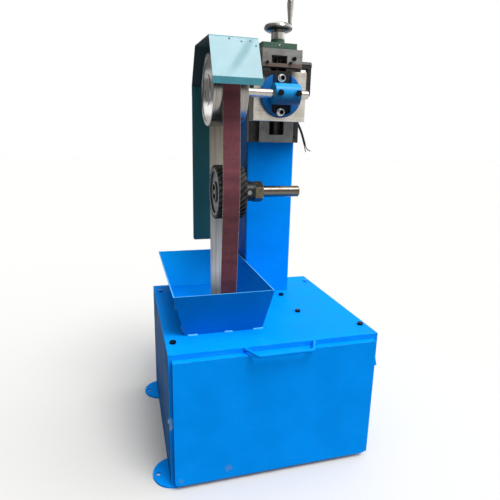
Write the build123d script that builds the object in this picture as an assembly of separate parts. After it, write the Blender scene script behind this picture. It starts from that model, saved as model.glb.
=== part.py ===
from build123d import *
import math
import os

# Vertical belt grinder: cabinet, column, belt over three wheels, and a hand-fed tension slide.
# Millimetres. Origin on the floor under the middle of the cabinet, +Z up, the front faces -Y.

# Driving dimensions: cabinet
cabinet_width = 606.0
cabinet_depth = 566.0
cabinet_height = 400.0
cabinet_wall = 3.0
top_plate_thickness = 10.0
base_plate_thickness = 6.0
front_strip = 24.0
front_side_strip = 20.0
ear_radius = 60.0
ear_inset = 14.0
ear_hole_offset = 31.0
ear_hole_diameter = 14.0
ear_pitch = 450.0
ear_middle_y = -5.0
top_bolt_size = 10.0
top_bolt_inset_x = 20.0
top_bolt_inset_y = 68.0

# Driving dimensions: front cover and handle
cover_left_gap = 9.0
cover_right_gap = 16.0
cover_bottom_gap = 14.0
cover_top_gap = 15.0
cover_sheet = 3.0
cover_depth = 20.0
cover_lip = 26.0
cover_corner = 14.0
cover_screw_size = 6.0
cover_screw_setback = 12.0
cover_screw_height = 200.0
handle_rod = 9.0
handle_reach = 49.0
handle_base = 200.0
handle_grip = 155.0
handle_bend = 14.0
handle_x = 2.0

# Driving dimensions: hopper
hopper_sheet = 3.0
hopper_height = 128.0
hopper_rim_left = 24.0
hopper_rim_front = 75.0
hopper_overhang = 17.0
hopper_column_gap = 5.0
hopper_draft = 33.0
hopper_draft_right = 24.0

# Driving dimensions: belt and wheels
belt_length = 2100.0
belt_width = 50.0
belt_thickness = 1.5
belt_gap = 0.3
belt_from_left = 205.0
wheel_setback = 288.0
drive_diameter = 130.0
idler_diameter = 200.0
idler_width = 100.0
idler_bore = 62.0
contact_diameter = 160.0
contact_width = 84.0
contact_offset = 7.0
contact_rise = 386.0
contact_advance = 30.5
tyre_thickness = 10.0
tyre_slots = 30
slot_width = 7.0
slot_depth = 6.5
slot_slant = 39.0
slot_pieces = 3

# Driving dimensions: motor, foot-mounted, hung under the top plate
motor_centre_height = 100.0
motor_foot_pitch_y = 160.0
motor_foot_pitch_x = 140.0
motor_foot_from_shoulder = 63.0
motor_foot_thickness = 12.0
motor_shaft_diameter = 28.0
motor_shaft_length = 60.0
motor_journal = 30.0
motor_frame_bore = 160.0
motor_frame_wall = 8.0
motor_frame_length = 185.0
motor_fin_height = 10.0
motor_fins = 36
motor_bearing_outer = 62.0
motor_bearing_width = 16.0
motor_bolt_size = 10.0
rotor_diameter = 103.0
stator_length = 100.0
fan_diameter = 172.0
key_width = 8.0

# Driving dimensions: column and slide
column_from_left = 397.0
column_width = 165.0
column_depth = 140.0
column_wall = 6.0
column_corner = 6.0
rail_width = 171.0
rail_thickness = 28.0
rail_below_axis = 143.0
rail_above_axis = 136.5
dovetail_width = 116.0
dovetail_height = 22.0
dovetail_angle = 30.0
channel_width = 50.0
channel_floor = 14.0
channel_foot = 24.0
saddle_width = 173.0
saddle_height = 150.0
saddle_below_axis = 77.0
saddle_plate = 24.0
gib_thickness = 6.5
gib_screw_size = 6.0
gib_screw_pitch = 45.0
head_left = 64.0
head_right = 69.0
head_height = 53.0
window_width = 51.0
window_height = 23.0
window_rise = 10.0
end_plate_thickness = 16.0
end_plate_right = 50.0
boss_height = 16.0
screw_diameter = 22.0
screw_pitch = 4.0
screw_journal = 18.0
screw_foot = 12.0
screw_from_rail = 6.5
slide_travel = 60.0

# Driving dimensions: handwheel and lever
collar_diameter = 43.0
collar_height = 21.0
handwheel_diameter = 89.0
handwheel_height = 27.0
crank_radius = 38.0
crank_length = 71.0
crank_diameter = 21.0
crank_root = 12.0
crank_spindle_diameter = 8.0
lever_hub = 24.0
lever_reach = 34.0
lever_bar = 11.5
lever_drop = 83.0
lever_stud = 10.0

# Driving dimensions: clamp and idler shaft
flange_diameter = 134.0
flange_thickness = 16.0
clamp_reach = 37.0
barrel_diameter = 62.0
barrel_length = 80.0
clamp_screw_pitch = 101.0
clamp_screw_size = 12.0
clamp_slot_play = 4.5
clamp_seat_width = 62.0
clamp_seat_depth = 8.0
clamp_seat_rim = 8.0
washer_diameter = 24.0
washer_thickness = 2.5
shaft_diameter = 25.0
shaft_stub = 31.5
shaft_bolt_size = 10.0
shaft_bolt_pitch = 56.0
idler_bearing_width = 17.0

# Driving dimensions: contact wheel arm
axle_diameter = 34.0
axle_end = 120.5
axle_journal = 20.0
contact_bearing_outer = 47.0
contact_bearing_width = 14.0
nut_across_flats = 55.0
nut_thickness = 25.7
arm_bar_height = 58.0
arm_bar_thickness = 30.0
arm_boss_diameter = 60.0
arm_plate_thickness = 12.0
arm_pad_length = 115.0
arm_from_column = 22.0
arm_pad_height = 96.0
column_bolt_size = 12.0

# Driving dimensions: guard
guard_sheet = 2.0
guard_left_out = 67.5
guard_right_out = 64.5
guard_bend = 4.0
guard_lip_rise = 0.0
guard_lip = 16.5
guard_lip_out = 75.0
guard_front_out = 22.0
guard_roof_front = 21.5
guard_roof_back = 34.0
guard_roof_behind = 3.0
guard_back_out = 76.0
guard_knee = 30.0
guard_tail = 30.0
guard_back_drop = 480.0
guard_screw_size = 5.0
bracket_plate = 6.0
bracket_width = 30.0
bracket_overlap = 50.0
bracket_bolt_size = 8.0

# Driving dimensions: switch box and cable
box_height = 120.0
box_depth = 100.0
box_top_gap = 15.0
box_front_gap = 50.0
box_top_out = 10.0
box_bottom_out = 40.0
box_wall = 2.5
button_diameter = 22.0
button_pitch = 44.0
button_rise = 7.0
button_travel = 4.0
cable_diameter = 8.0
core_diameter = 3.2

# Fits
running_gap = 0.05
slide_gap = 0.2
face_gap = 0.3
hole_gap = 0.6

# Worked-out places
left = -cabinet_width / 2
right = cabinet_width / 2
front = -cabinet_depth / 2
back = cabinet_depth / 2
plate_under = cabinet_height - top_plate_thickness
belt_x = left + belt_from_left
wheel_y = front + wheel_setback
column_x = left + column_from_left
motor_z = plate_under - motor_centre_height
contact_y = wheel_y - contact_advance
contact_z = cabinet_height + contact_rise


def belt_circles(top_z, gap):
    """Wheel circles (y, z, radius) in the belt's order, anticlockwise seen with +Y to the right."""
    return [
        (wheel_y, top_z, idler_diameter / 2 + gap),
        (contact_y, contact_z, contact_diameter / 2 + gap),
        (wheel_y, motor_z, drive_diameter / 2 + gap),
    ]


def belt_normals(circles):
    """Outward normal angle of the straight run that leaves each circle for the next one."""
    angles = []
    for here, there in zip(circles, circles[1:] + circles[:1]):
        dy, dz = there[0] - here[0], there[1] - here[1]
        lean = math.asin((here[2] - there[2]) / math.hypot(dy, dz))
        angles.append(math.atan2(dz, dy) - math.pi / 2 + lean)
    return angles


def belt_turns(angles):
    """Angle the belt wraps round each circle."""
    return [(out - into) % (2 * math.pi) for into, out in zip(angles[-1:] + angles[:-1], angles)]


def belt_path_length(top_z):
    """Length of the belt's middle line for a given height of the top wheel."""
    circles = belt_circles(top_z, belt_gap + belt_thickness / 2)
    angles = belt_normals(circles)
    total = sum(turn * circle[2] for turn, circle in zip(belt_turns(angles), circles))
    for here, there in zip(circles, circles[1:] + circles[:1]):
        span = math.hypot(there[0] - here[0], there[1] - here[1])
        total += math.sqrt(span**2 - (here[2] - there[2]) ** 2)
    return total


def top_axis_height():
    """Height of the top wheel's axis at which the belt has its stated length, found by halving."""
    low = contact_z
    high = contact_z + belt_length
    while high - low > 1e-6:
        middle = (low + high) / 2
        if belt_path_length(middle) < belt_length:
            low = middle
        else:
            high = middle
    return low


top_z = top_axis_height()
idler_r = idler_diameter / 2

# Stack of the slide from the shaft back to the column
flange_front = wheel_y + clamp_reach
saddle_front = flange_front + flange_thickness
dovetail_front = saddle_front + saddle_plate
rail_front = dovetail_front + dovetail_height
column_front = rail_front + rail_thickness
column_back = column_front + column_depth
column_left = column_x - column_width / 2
column_right = column_x + column_width / 2
rail_bottom = top_z - rail_below_axis
rail_top = top_z + rail_above_axis
column_top = rail_top - 8
head_bottom = rail_top - head_height
head_face = saddle_front - 5
screw_y = rail_front - screw_from_rail
channel_back = rail_front + channel_floor
saddle_bottom = top_z - saddle_below_axis
saddle_top = saddle_bottom + saddle_height
saddle_left = column_x - saddle_width / 2
end_plate_top = rail_top + end_plate_thickness
boss_top = end_plate_top + boss_height
collar_top = boss_top + collar_height
wheel_top = collar_top + handwheel_height

# Places along the shafts
shoulder_x = belt_x + motor_shaft_length / 2
frame_x0 = shoulder_x + 45
frame_x1 = frame_x0 + motor_frame_length
frame_outer = motor_frame_bore + 2 * motor_frame_wall
fin_outer = frame_outer + 2 * motor_fin_height
foot_x0 = shoulder_x + motor_foot_from_shoulder
foot_x1 = foot_x0 + motor_foot_pitch_x
idler_left = belt_x - idler_width / 2
idler_right = belt_x + idler_width / 2
barrel_left = column_x - barrel_length / 2
barrel_right = column_x + barrel_length / 2
contact_x = belt_x + contact_offset
contact_left = contact_x - contact_width / 2
contact_right = contact_x + contact_width / 2
arm_right = column_left - arm_from_column
arm_left = contact_right + 6
guard_left = belt_x - guard_left_out
guard_right = belt_x + guard_right_out
guard_back_y = wheel_y + idler_r + guard_back_out

FROM_BASE = (Align.CENTER, Align.CENTER, Align.MIN)


def block(x0, x1, y0, y1, z0, z1):
    """Box between two corners."""
    return Pos((x0 + x1) / 2, (y0 + y1) / 2, (z0 + z1) / 2) * Box(x1 - x0, y1 - y0, z1 - z0)


def stand(axis, along, a, b):
    """Place with its own Z along a row axis; a and b are the other two coordinates in X, Y, Z order."""
    points = {"x": (along, a, b), "y": (a, along, b), "z": (a, b, along)}
    turns = {"x": (0, 90, 0), "y": (-90, 0, 0), "z": (0, 0, 0)}
    return Pos(*points[axis]) * Rot(*turns[axis])


def rod(axis, p, q, a, b, diameter):
    """Round bar between p and q along a row axis."""
    return stand(axis, min(p, q), a, b) * Cylinder(diameter / 2, abs(q - p), align=FROM_BASE)


def ring(axis, p, q, a, b, outer, inner):
    """Round tube between p and q along a row axis."""
    return rod(axis, p, q, a, b, outer) - rod(axis, p, q, a, b, inner)


def taper(axis, p, q, a, b, diameter_p, diameter_q):
    """Cone between p and q, with p below q."""
    return stand(axis, p, a, b) * Cone(diameter_p / 2, diameter_q / 2, q - p, align=FROM_BASE)


def hex_bar(axis, p, q, a, b, across_flats):
    """Hexagonal bar between p and q along a row axis."""
    hexagon = RegularPolygon(across_flats / 2, 6, major_radius=False)
    return stand(axis, min(p, q), a, b) * extrude(hexagon, abs(q - p))


def hex_bolt(axis, seat, side, a, b, size, reach):
    """Hexagon bolt: the head stands on the seat, on the given side, and the shank goes the other way."""
    head = hex_bar(axis, seat, seat + side * 0.65 * size, a, b, 1.6 * size)
    return head + rod(axis, seat, seat - side * reach, a, b, size)


def cap_screw(axis, seat, side, a, b, size, reach):
    """Socket cap screw with its hexagon socket."""
    top = seat + side * size
    head = rod(axis, seat, top, a, b, 1.5 * size)
    head -= hex_bar(axis, top, top - side * 0.55 * size, a, b, 0.8 * size)
    return head + rod(axis, seat, seat - side * reach, a, b, size)


def pan_screw(axis, seat, side, a, b, size, reach):
    """Low round-headed screw with a slot."""
    top = seat + side * 0.6 * size
    head = rod(axis, seat, top, a, b, 1.9 * size)
    slot_bottom = top - side * 0.3 * size
    turned = stand(axis, min(top, slot_bottom), a, b)
    head -= turned * Box(2 * size, 0.25 * size, 0.3 * size, align=FROM_BASE)
    return head + rod(axis, seat, seat - side * reach, a, b, size)


def group(solids):
    """Several separate solids in one node."""
    return Compound(children=list(solids))


def spun(points, x, y):
    """Solid of revolution about a vertical line, from (radius, height) points."""
    profile = make_face(Polyline(*points, close=True))
    return Pos(x, y, 0) * revolve(Plane.XZ * profile, Axis.Z)


def side_sheet(points, x0, x1):
    """Bent sheet: a folded line in the Y-Z plane, thickened to its left and drawn out along X."""
    line = FilletPolyline(*points, radius=guard_bend)
    face = make_face(offset(line, guard_sheet, side=Side.LEFT).edges())
    return Pos(x0, 0, 0) * extrude(Plane.YZ * face, x1 - x0)


def side_plate(points, x0, x1):
    """Flat plate drawn out along X from a closed outline in the Y-Z plane."""
    return Pos(x0, 0, 0) * extrude(Plane.YZ * make_face(Polyline(*points, close=True)), x1 - x0)


def flat_prism(points, z0, z1):
    """Prism drawn up along Z from a closed outline in the X-Y plane."""
    return Pos(0, 0, z0) * extrude(make_face(Polyline(*points, close=True)), z1 - z0)


# Cabinet pieces
def ear_places():
    return [ear_middle_y - ear_pitch / 2, ear_middle_y + ear_pitch / 2]


def make_base_plate():
    plate = block(left, right, front, back, 0, base_plate_thickness)
    for y in ear_places():
        plate += rod("z", 0, base_plate_thickness, left + ear_inset, y, 2 * ear_radius)
        plate -= rod("z", 0, base_plate_thickness, left - ear_hole_offset, y, ear_hole_diameter)
    return plate


def cover_screw_places():
    return [(left, -1), (right, 1)]


def front_opening():
    """Opening in the cabinet's front: low and high X, low and high Z."""
    return (
        left + cover_left_gap + front_side_strip, right - cover_right_gap - front_side_strip,
        base_plate_thickness + front_strip, plate_under - front_strip,
    )


def make_cabinet_shell():
    inner = cabinet_wall
    shell = block(left, right, front, back, base_plate_thickness, plate_under)
    shell -= block(
        left + inner, right - inner, front + inner, back - inner, base_plate_thickness, plate_under
    )
    x0, x1, z0, z1 = front_opening()
    shell -= block(x0, x1, front, front + inner, z0, z1)
    for x, side in cover_screw_places():
        shell -= rod(
            "x", x, x - side * inner, front + cover_screw_setback, cover_screw_height,
            cover_screw_size + hole_gap,
        )
    entry_z = box_bottom() + box_height / 3
    return shell - rod("x", right - inner, right, box_middle_y(), entry_z, 3 * cable_diameter)


def top_bolt_places():
    return [
        (x, y)
        for x in (left + top_bolt_inset_x, right - top_bolt_inset_x)
        for y in (front + top_bolt_inset_y, back - top_bolt_inset_y)
    ]


def motor_bolt_places():
    half = motor_foot_pitch_y / 2
    return [(x, y) for x in (foot_x0, foot_x1) for y in (wheel_y - half, wheel_y + half)]


def make_top_plate():
    plate = block(left, right, front, back, plate_under, cabinet_height)
    reach = drive_diameter / 2 + 45
    plate -= block(
        belt_x - belt_width, belt_x + belt_width, wheel_y - reach, wheel_y + reach,
        plate_under, cabinet_height,
    )
    for x, y in top_bolt_places():
        plate -= rod("z", plate_under, cabinet_height, x, y, top_bolt_size + hole_gap)
    for x, y in motor_bolt_places():
        plate -= rod("z", plate_under, cabinet_height, x, y, motor_bolt_size + hole_gap)
    return plate


def make_top_plate_bolts():
    reach = top_plate_thickness + top_bolt_size
    return group(hex_bolt("z", cabinet_height, 1, x, y, top_bolt_size, reach) for x, y in top_bolt_places())


def tray_frame(sheet):
    """Hopper outlines at its foot and its rim, drawn in by the sheet's thickness."""
    rim_left = left + hopper_rim_left + sheet
    bolt_room = foot_x0 - 1.25 * motor_bolt_size + hopper_draft_right
    rim_right = min(column_left - hopper_column_gap, bolt_room) - sheet
    rim_front = front + hopper_rim_front + sheet
    rim_back = back + hopper_overhang - sheet
    foot = (rim_left + hopper_draft, rim_right - hopper_draft_right,
            rim_front + hopper_draft, rim_back - hopper_draft)
    return foot, (rim_left, rim_right, rim_front, rim_back)


def tray_solid(sheet):
    faces = []
    for (x0, x1, y0, y1), z in zip(tray_frame(sheet), (cabinet_height, cabinet_height + hopper_height)):
        faces.append(Pos((x0 + x1) / 2, (y0 + y1) / 2, z) * Rectangle(x1 - x0, y1 - y0))
    return loft(faces)


def make_hopper():
    return tray_solid(0) - tray_solid(hopper_sheet)


def cover_box(inset):
    """Body of the tray-shaped cover, with rounded lower corners, drawn in by an inset."""
    box = block(
        left + cover_left_gap + inset, right - cover_right_gap - inset, front - cover_depth + inset, front,
        cover_bottom_gap + inset, cabinet_height - cover_top_gap - inset,
    )
    return fillet(box.edges().filter_by(Axis.Y).group_by(Axis.Z)[0], cover_corner - inset)


def make_front_cover():
    cover = cover_box(0) - cover_box(cover_sheet)
    x0, x1, z0, z1 = front_opening()
    face = front - cover_depth + cover_sheet
    rear = front + cover_lip
    half = cover_screw_size / 2 + hole_gap
    for edge, inward in ((x0, 1), (x1, -1)):
        outer = edge + inward * face_gap
        ends = sorted((outer, outer + inward * cover_sheet))
        cover += block(*ends, face, rear, z0 + face_gap, z1 - face_gap)
        cover -= block(
            *ends, front + cover_screw_setback - half, rear,
            cover_screw_height - half, cover_screw_height + half,
        )
    return cover


def make_front_handle():
    z = cabinet_height - handle_rod / 2
    y_root = front + handle_rod
    y_grip = front - handle_reach
    flare = (handle_base - handle_grip) / 2 * (handle_reach + handle_rod) / handle_reach
    points = [
        (handle_x - handle_grip / 2 - flare, y_root, z),
        (handle_x - handle_grip / 2, y_grip, z),
        (handle_x + handle_grip / 2, y_grip, z),
        (handle_x + handle_grip / 2 + flare, y_root, z),
    ]
    path = FilletPolyline(*points, radius=handle_bend)
    section = Plane(origin=path @ 0, z_dir=path % 0) * Circle(handle_rod / 2)
    behind = block(
        handle_x - handle_base, handle_x + handle_base, front, front + 4 * handle_rod,
        z - handle_rod, z + handle_rod,
    )
    return sweep(section, path=path) - behind


def make_cover_screws():
    y = front + cover_screw_setback
    x0, x1 = front_opening()[:2]
    screws = []
    for (x, side), edge in zip(cover_screw_places(), (x0, x1)):
        reach = abs(edge - x) + cover_sheet + 4
        screws.append(pan_screw("x", x, side, y, cover_screw_height, cover_screw_size, reach))
    return group(screws)


# Column and slide
def rail_bolt_places():
    out = column_width / 2 - column_wall - column_bolt_size / 2 - 1
    return [
        (column_x + side * out, z)
        for side in (-1, 1)
        for z in (rail_bottom + 18, rail_top - 45)
    ]


def arm_bolt_places():
    low = arm_pad_front() + 26
    high = arm_pad_front() + arm_pad_length - 26
    half = arm_pad_height / 2 - 20
    return [(y, z) for y in (low, high) for z in (contact_z - half, contact_z + half)]


def arm_pad_front():
    return column_front + 4


def make_column():
    outer = block(column_left, column_right, column_front, column_back, cabinet_height, column_top)
    outer = fillet(outer.edges().filter_by(Axis.Z), column_corner)
    inner = column_wall
    column = outer - block(
        column_left + inner, column_right - inner, column_front + inner, column_back - inner,
        cabinet_height, column_top - inner,
    )
    for x, z in rail_bolt_places():
        column -= rod("y", column_front, column_front + inner, x, z, column_bolt_size + hole_gap)
    for y, z in arm_bolt_places():
        column -= rod("x", column_left, column_left + inner, y, z, column_bolt_size + hole_gap)
    y, z = cable_points[0][1], grommet_z()
    return column - rod("x", column_right - inner, column_right, y, z, 1.5 * cable_diameter)


def flank(y):
    """Half width of the dovetail at a depth y; it is widest at its front."""
    return dovetail_width / 2 - (y - dovetail_front) * math.tan(math.radians(dovetail_angle))


def make_slide_base():
    half = rail_width / 2
    rail = block(column_x - half, column_x + half, rail_front, column_front, rail_bottom, rail_top)
    rail = fillet(rail.edges().filter_by(Axis.Z).group_by(Axis.Y)[0], 3)
    wide, narrow = flank(dovetail_front), flank(rail_front + 1)
    rail += flat_prism(
        [
            (column_x - wide, dovetail_front), (column_x + wide, dovetail_front),
            (column_x + narrow, rail_front + 1), (column_x - narrow, rail_front + 1),
        ],
        rail_bottom, head_bottom,
    )
    half = channel_width / 2
    rail -= block(
        column_x - half, column_x + half, dovetail_front, channel_back, rail_bottom + channel_foot, rail_top
    )
    foot_top = rail_bottom + channel_foot
    rail -= rod("z", rail_bottom, foot_top, column_x, screw_y, screw_foot + 2 * running_gap)
    for x, z in rail_bolt_places():
        rail -= rod("y", rail_front, column_front, x, z, column_bolt_size + hole_gap)
        rail -= rod("y", rail_front, rail_front + column_bolt_size + 1, x, z, 1.5 * column_bolt_size + 1)
    for x, y in end_screw_places():
        if y > rail_front:
            rail -= rod("z", rail_top - 30, rail_top, x, y, 8 + hole_gap)
    return rail


def make_column_bolts():
    seat = rail_front + column_bolt_size + 1
    reach = column_front + column_wall + 4 - seat
    bolts = [cap_screw("y", seat, -1, x, z, column_bolt_size, reach) for x, z in rail_bolt_places()]
    seat = arm_right - arm_plate_thickness
    reach = column_left + column_wall + 4 - seat
    bolts += [hex_bolt("x", seat, -1, y, z, column_bolt_size, reach) for y, z in arm_bolt_places()]
    return group(bolts)


def end_screw_places():
    x0 = column_x - head_left + 14
    x1 = column_x + end_plate_right - 14
    return [(x, y) for x in (x0, x1) for y in (head_face + 14, rail_front + rail_thickness / 2)]


def make_head_block():
    x0, x1 = column_x - head_left, column_x + head_right
    head = block(x0, x1, head_face, rail_front, head_bottom, rail_top)
    head = fillet(head.edges().filter_by(Axis.Z).group_by(Axis.Y)[0], 3)
    half = channel_width / 2 - slide_gap
    head += block(
        column_x - half, column_x + half, rail_front - 1, channel_back - slide_gap, head_bottom, rail_top
    )
    z0 = head_bottom + window_rise
    half = window_width / 2
    x = column_x - head_left + head_right / 2 + 22
    head -= block(x - half, x + half, head_face, screw_y + screw_journal / 2 + 3, z0, z0 + window_height)
    head -= rod("z", head_bottom, rail_top, column_x, screw_y, screw_journal + 2 * running_gap)
    head -= rod("x", x1 - 20, x1, lever_y(), lever_z(), lever_stud + 2 * running_gap)
    for x, y in end_screw_places():
        if y < rail_front:
            head -= rod("z", rail_top - 30, rail_top, x, y, 8 + hole_gap)
    for x, z, size, reach in face_screws():
        head -= rod("y", head_face, head_face + reach + 1, x, z, size + hole_gap)
    return head


def face_screws():
    """Screws in the head block's front: x, z, size and reach."""
    return [
        (column_x - 47, head_bottom + 11, 6, 18),
        (column_x + 28, head_bottom + 12, 6, 18),
        (column_x + 40, head_bottom + 25, 8, 7),
    ]


def make_end_plate():
    x0, x1 = column_x - head_left, column_x + end_plate_right
    plate = block(x0, x1, head_face - 1, column_front, rail_top, end_plate_top)
    plate = fillet(plate.edges().filter_by(Axis.Z), 5)
    plate += taper("z", end_plate_top, boss_top, column_x, screw_y, collar_diameter + 3, collar_diameter)
    plate -= rod("z", rail_top, boss_top, column_x, screw_y, screw_journal + 2 * running_gap)
    for x, y in end_screw_places():
        plate -= rod("z", rail_top, end_plate_top, x, y, 8 + hole_gap)
        plate -= rod("z", end_plate_top - 8, end_plate_top, x, y, 13)
    x, z = nipple_place()
    return plate - rod("y", head_face - 1, head_face + 7, x, z, 6 + 2 * running_gap)


def make_head_screws():
    seat = end_plate_top - 8
    reach = end_plate_thickness - 8 + 25
    screws = [cap_screw("z", seat, 1, x, y, 8, reach) for x, y in end_screw_places()]
    screws += [cap_screw("y", head_face, -1, x, z, size, reach) for x, z, size, reach in face_screws()]
    return group(screws)


def nipple_place():
    return column_x - 10, rail_top + end_plate_thickness / 2


def make_oil_nipple():
    x, z = nipple_place()
    face = head_face - 1
    ball = taper("y", face - 3, face, x, z, 4, 7)
    return ball + rod("y", face, face + 6, x, z, 6)


def make_lead_screw():
    root = screw_diameter / 2 - 0.55 * screw_pitch
    crest = screw_diameter / 2
    z0 = rail_bottom + channel_foot + 1
    turns = int((head_bottom - 2 - z0) / screw_pitch)
    z1 = z0 + turns * screw_pitch
    points = [(0, rail_bottom + 1), (screw_foot / 2, rail_bottom + 1), (screw_foot / 2, z0)]
    for turn in range(turns):
        z = z0 + turn * screw_pitch
        points += [
            (root, z), (root, z + 0.3 * screw_pitch),
            (crest, z + 0.45 * screw_pitch), (crest, z + 0.85 * screw_pitch),
        ]
    points += [(root, z1), (screw_journal / 2, z1), (screw_journal / 2, boss_top)]
    points += [(spindle_r(), boss_top), (spindle_r(), wheel_top - 4), (0, wheel_top - 4)]
    return spun(points, column_x, screw_y)


def spindle_r():
    return screw_journal / 2 - 2


def make_dial_collar():
    bore = 2 * (spindle_r() + running_gap)
    collar = ring("z", boss_top + slide_gap, collar_top, column_x, screw_y, collar_diameter, bore)
    rims = collar.edges().filter_by(GeomType.CIRCLE).group_by(Axis.Z)[-1]
    return chamfer(rims.sort_by(SortBy.RADIUS)[-1], 1)


def make_handwheel():
    r = handwheel_diameter / 2
    bore = spindle_r() + running_gap
    z0, z1 = collar_top, wheel_top
    points = [
        (bore, z0), (collar_diameter / 2 - 1, z0), (r - 9, z0 + 3), (r - 2, z0 + 7), (r, z0 + 10),
        (r, z0 + 13), (r - 2, z1 - 8), (r - 7, z1 - 4), (r - 15, z1 - 1), (r - 24, z1), (bore, z1),
    ]
    x = column_x + crank_radius
    wheel = spun(points, column_x, screw_y) + rod("z", z0 + 10, z1, x, screw_y, crank_root + 1)
    return wheel - rod("z", z0, z1, x, screw_y, crank_spindle_diameter + 2 * running_gap)


def crank_top():
    return wheel_top + 2 + crank_length


def make_crank_spindle():
    r = crank_spindle_diameter / 2
    points = [
        (0, wheel_top - handwheel_height + 6), (r, wheel_top - handwheel_height + 6), (r, wheel_top),
        (r + 2, wheel_top), (r + 2, wheel_top + 1.7), (r, wheel_top + 1.7), (r, crank_top() - 12),
        (0, crank_top() - 12),
    ]
    return spun(points, column_x + crank_radius, screw_y)


def make_crank_handle():
    x = column_x + crank_radius
    z0, z1 = wheel_top + 2, crank_top()
    bore = crank_spindle_diameter / 2 + running_gap
    top, root = crank_diameter / 2, crank_root / 2
    outline = Spline((root, z0), (root + 1.5, z0 + 0.3 * crank_length), (top, z0 + 0.78 * crank_length),
                     (top - 2.5, z1 - 3), (0, z1), tangents=[(0, 1), (-1, 0)])
    sides = [outline, Line((0, z1), (0, z1 - 10)), Line((0, z1 - 10), (bore, z1 - 10)),
             Line((bore, z1 - 10), (bore, z0)), Line((bore, z0), (root, z0))]
    return Pos(x, screw_y, 0) * revolve(Plane.XZ * make_face(sides), Axis.Z)


def lever_y():
    return head_face + 17


def lever_z():
    return head_bottom + 10


def make_lock_lever():
    x0 = column_x + head_right
    hub_end = x0 + lever_reach
    y, z = lever_y(), lever_z()
    lever = rod("x", x0 + slide_gap, hub_end, y, z, lever_hub)
    lever += rod("x", x0 - 18, x0 + slide_gap, y, z, lever_stud)
    half = lever_bar * 0.75
    lever += block(hub_end - lever_bar, hub_end, y - half, y + half, z - lever_drop, z)
    return lever + rod("x", hub_end - lever_bar, hub_end, y, z - lever_drop, 2 * half)


# Saddle and clamp
def make_saddle():
    half = saddle_width / 2
    z0, z1 = saddle_bottom, saddle_top
    rear = rail_front - slide_gap
    saddle = block(column_x - half, column_x + half, saddle_front, rear, z0, z1)
    saddle = chamfer(saddle.edges().group_by(Axis.Y)[0], 1)
    near, far = dovetail_front - slide_gap, rail_front + 1
    room = 2 * slide_gap + gib_thickness
    saddle -= flat_prism(
        [
            (column_x - flank(near) - slide_gap, near), (column_x + flank(near) + room, near),
            (column_x + flank(far) + room, far), (column_x - flank(far) - slide_gap, far),
        ],
        z0, z1,
    )
    for z in gib_screw_places():
        saddle -= rod("x", column_x, column_x + half, gib_y(), z, gib_screw_size + hole_gap)
    for z in clamp_screw_places():
        saddle -= rod("y", saddle_front, dovetail_front, column_x, z, clamp_screw_size + hole_gap)
    for z in bracket_bolt_places():
        saddle -= rod("x", saddle_left, saddle_left + 18, bracket_y(), z, bracket_bolt_size + hole_gap)
    return saddle - rod("y", saddle_front + 8, dovetail_front, column_x, top_z, 20 + 2 * running_gap)


def gib_y():
    return (dovetail_front + rail_front) / 2


def gib_screw_places():
    return [top_z + step * gib_screw_pitch for step in (-1, 0, 1)]


def make_gib():
    near, far = dovetail_front, rail_front - slide_gap
    inner = slide_gap
    outer = slide_gap + gib_thickness
    return flat_prism(
        [
            (column_x + flank(near) + inner, near), (column_x + flank(near) + outer, near),
            (column_x + flank(far) + outer, far), (column_x + flank(far) + inner, far),
        ],
        saddle_bottom, saddle_top,
    )


def make_gib_screws():
    outside = column_x + saddle_width / 2
    tip = column_x + flank(gib_y() - gib_screw_size / 2) + slide_gap + gib_thickness + slide_gap
    screws = []
    for z in gib_screw_places():
        screw = rod("x", tip, outside + 7, gib_y(), z, gib_screw_size)
        screw += hex_bar("x", outside, outside + 4, gib_y(), z, 1.7 * gib_screw_size)
        screws.append(screw)
    return group(screws)


def make_feed_nut():
    half = channel_width / 2 - 5
    near = dovetail_front - slide_gap
    nut = block(column_x - half, column_x + half, near, channel_back - 2, top_z - 22, top_z + 22)
    nut += rod("y", saddle_front + 10, near, column_x, top_z, 20)
    return nut - rod("z", top_z - 22, top_z + 22, column_x, screw_y, screw_diameter + 2 * running_gap)


def clamp_screw_places():
    return [top_z - clamp_screw_pitch / 2, top_z + clamp_screw_pitch / 2]


def make_clamp_screws():
    screws = []
    for z in clamp_screw_places():
        floor = flange_front + clamp_seat_depth
        seat = floor - washer_thickness
        screws.append(cap_screw("y", seat, -1, column_x, z, clamp_screw_size, saddle_front + 20 - seat))
        hole = clamp_screw_size + hole_gap
        screws.append(ring("y", seat, floor - running_gap, column_x, z, washer_diameter, hole))
    return group(screws)


def shaft_bolt_places():
    return [column_x - shaft_bolt_pitch / 2, column_x + shaft_bolt_pitch / 2]


def clamp_seats(neck):
    """Milled seats of the clamp screws: the upper one runs out at the top, the lower one keeps a rim."""
    floor = flange_front + clamp_seat_depth
    x0, x1 = column_x - clamp_seat_width / 2, column_x + clamp_seat_width / 2
    reach = flange_diameter / 2
    upper = block(x0, x1, flange_front, floor, top_z + neck, top_z + reach)
    lower = block(x0, x1, flange_front, floor, top_z - reach, top_z - neck)
    inside = rod("y", flange_front, floor, column_x, top_z, flange_diameter - 2 * clamp_seat_rim)
    seats = upper + (lower & inside)
    for z in clamp_screw_places():
        seats += rod("y", flange_front, floor, column_x, z, washer_diameter + 3)
    return seats


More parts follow.
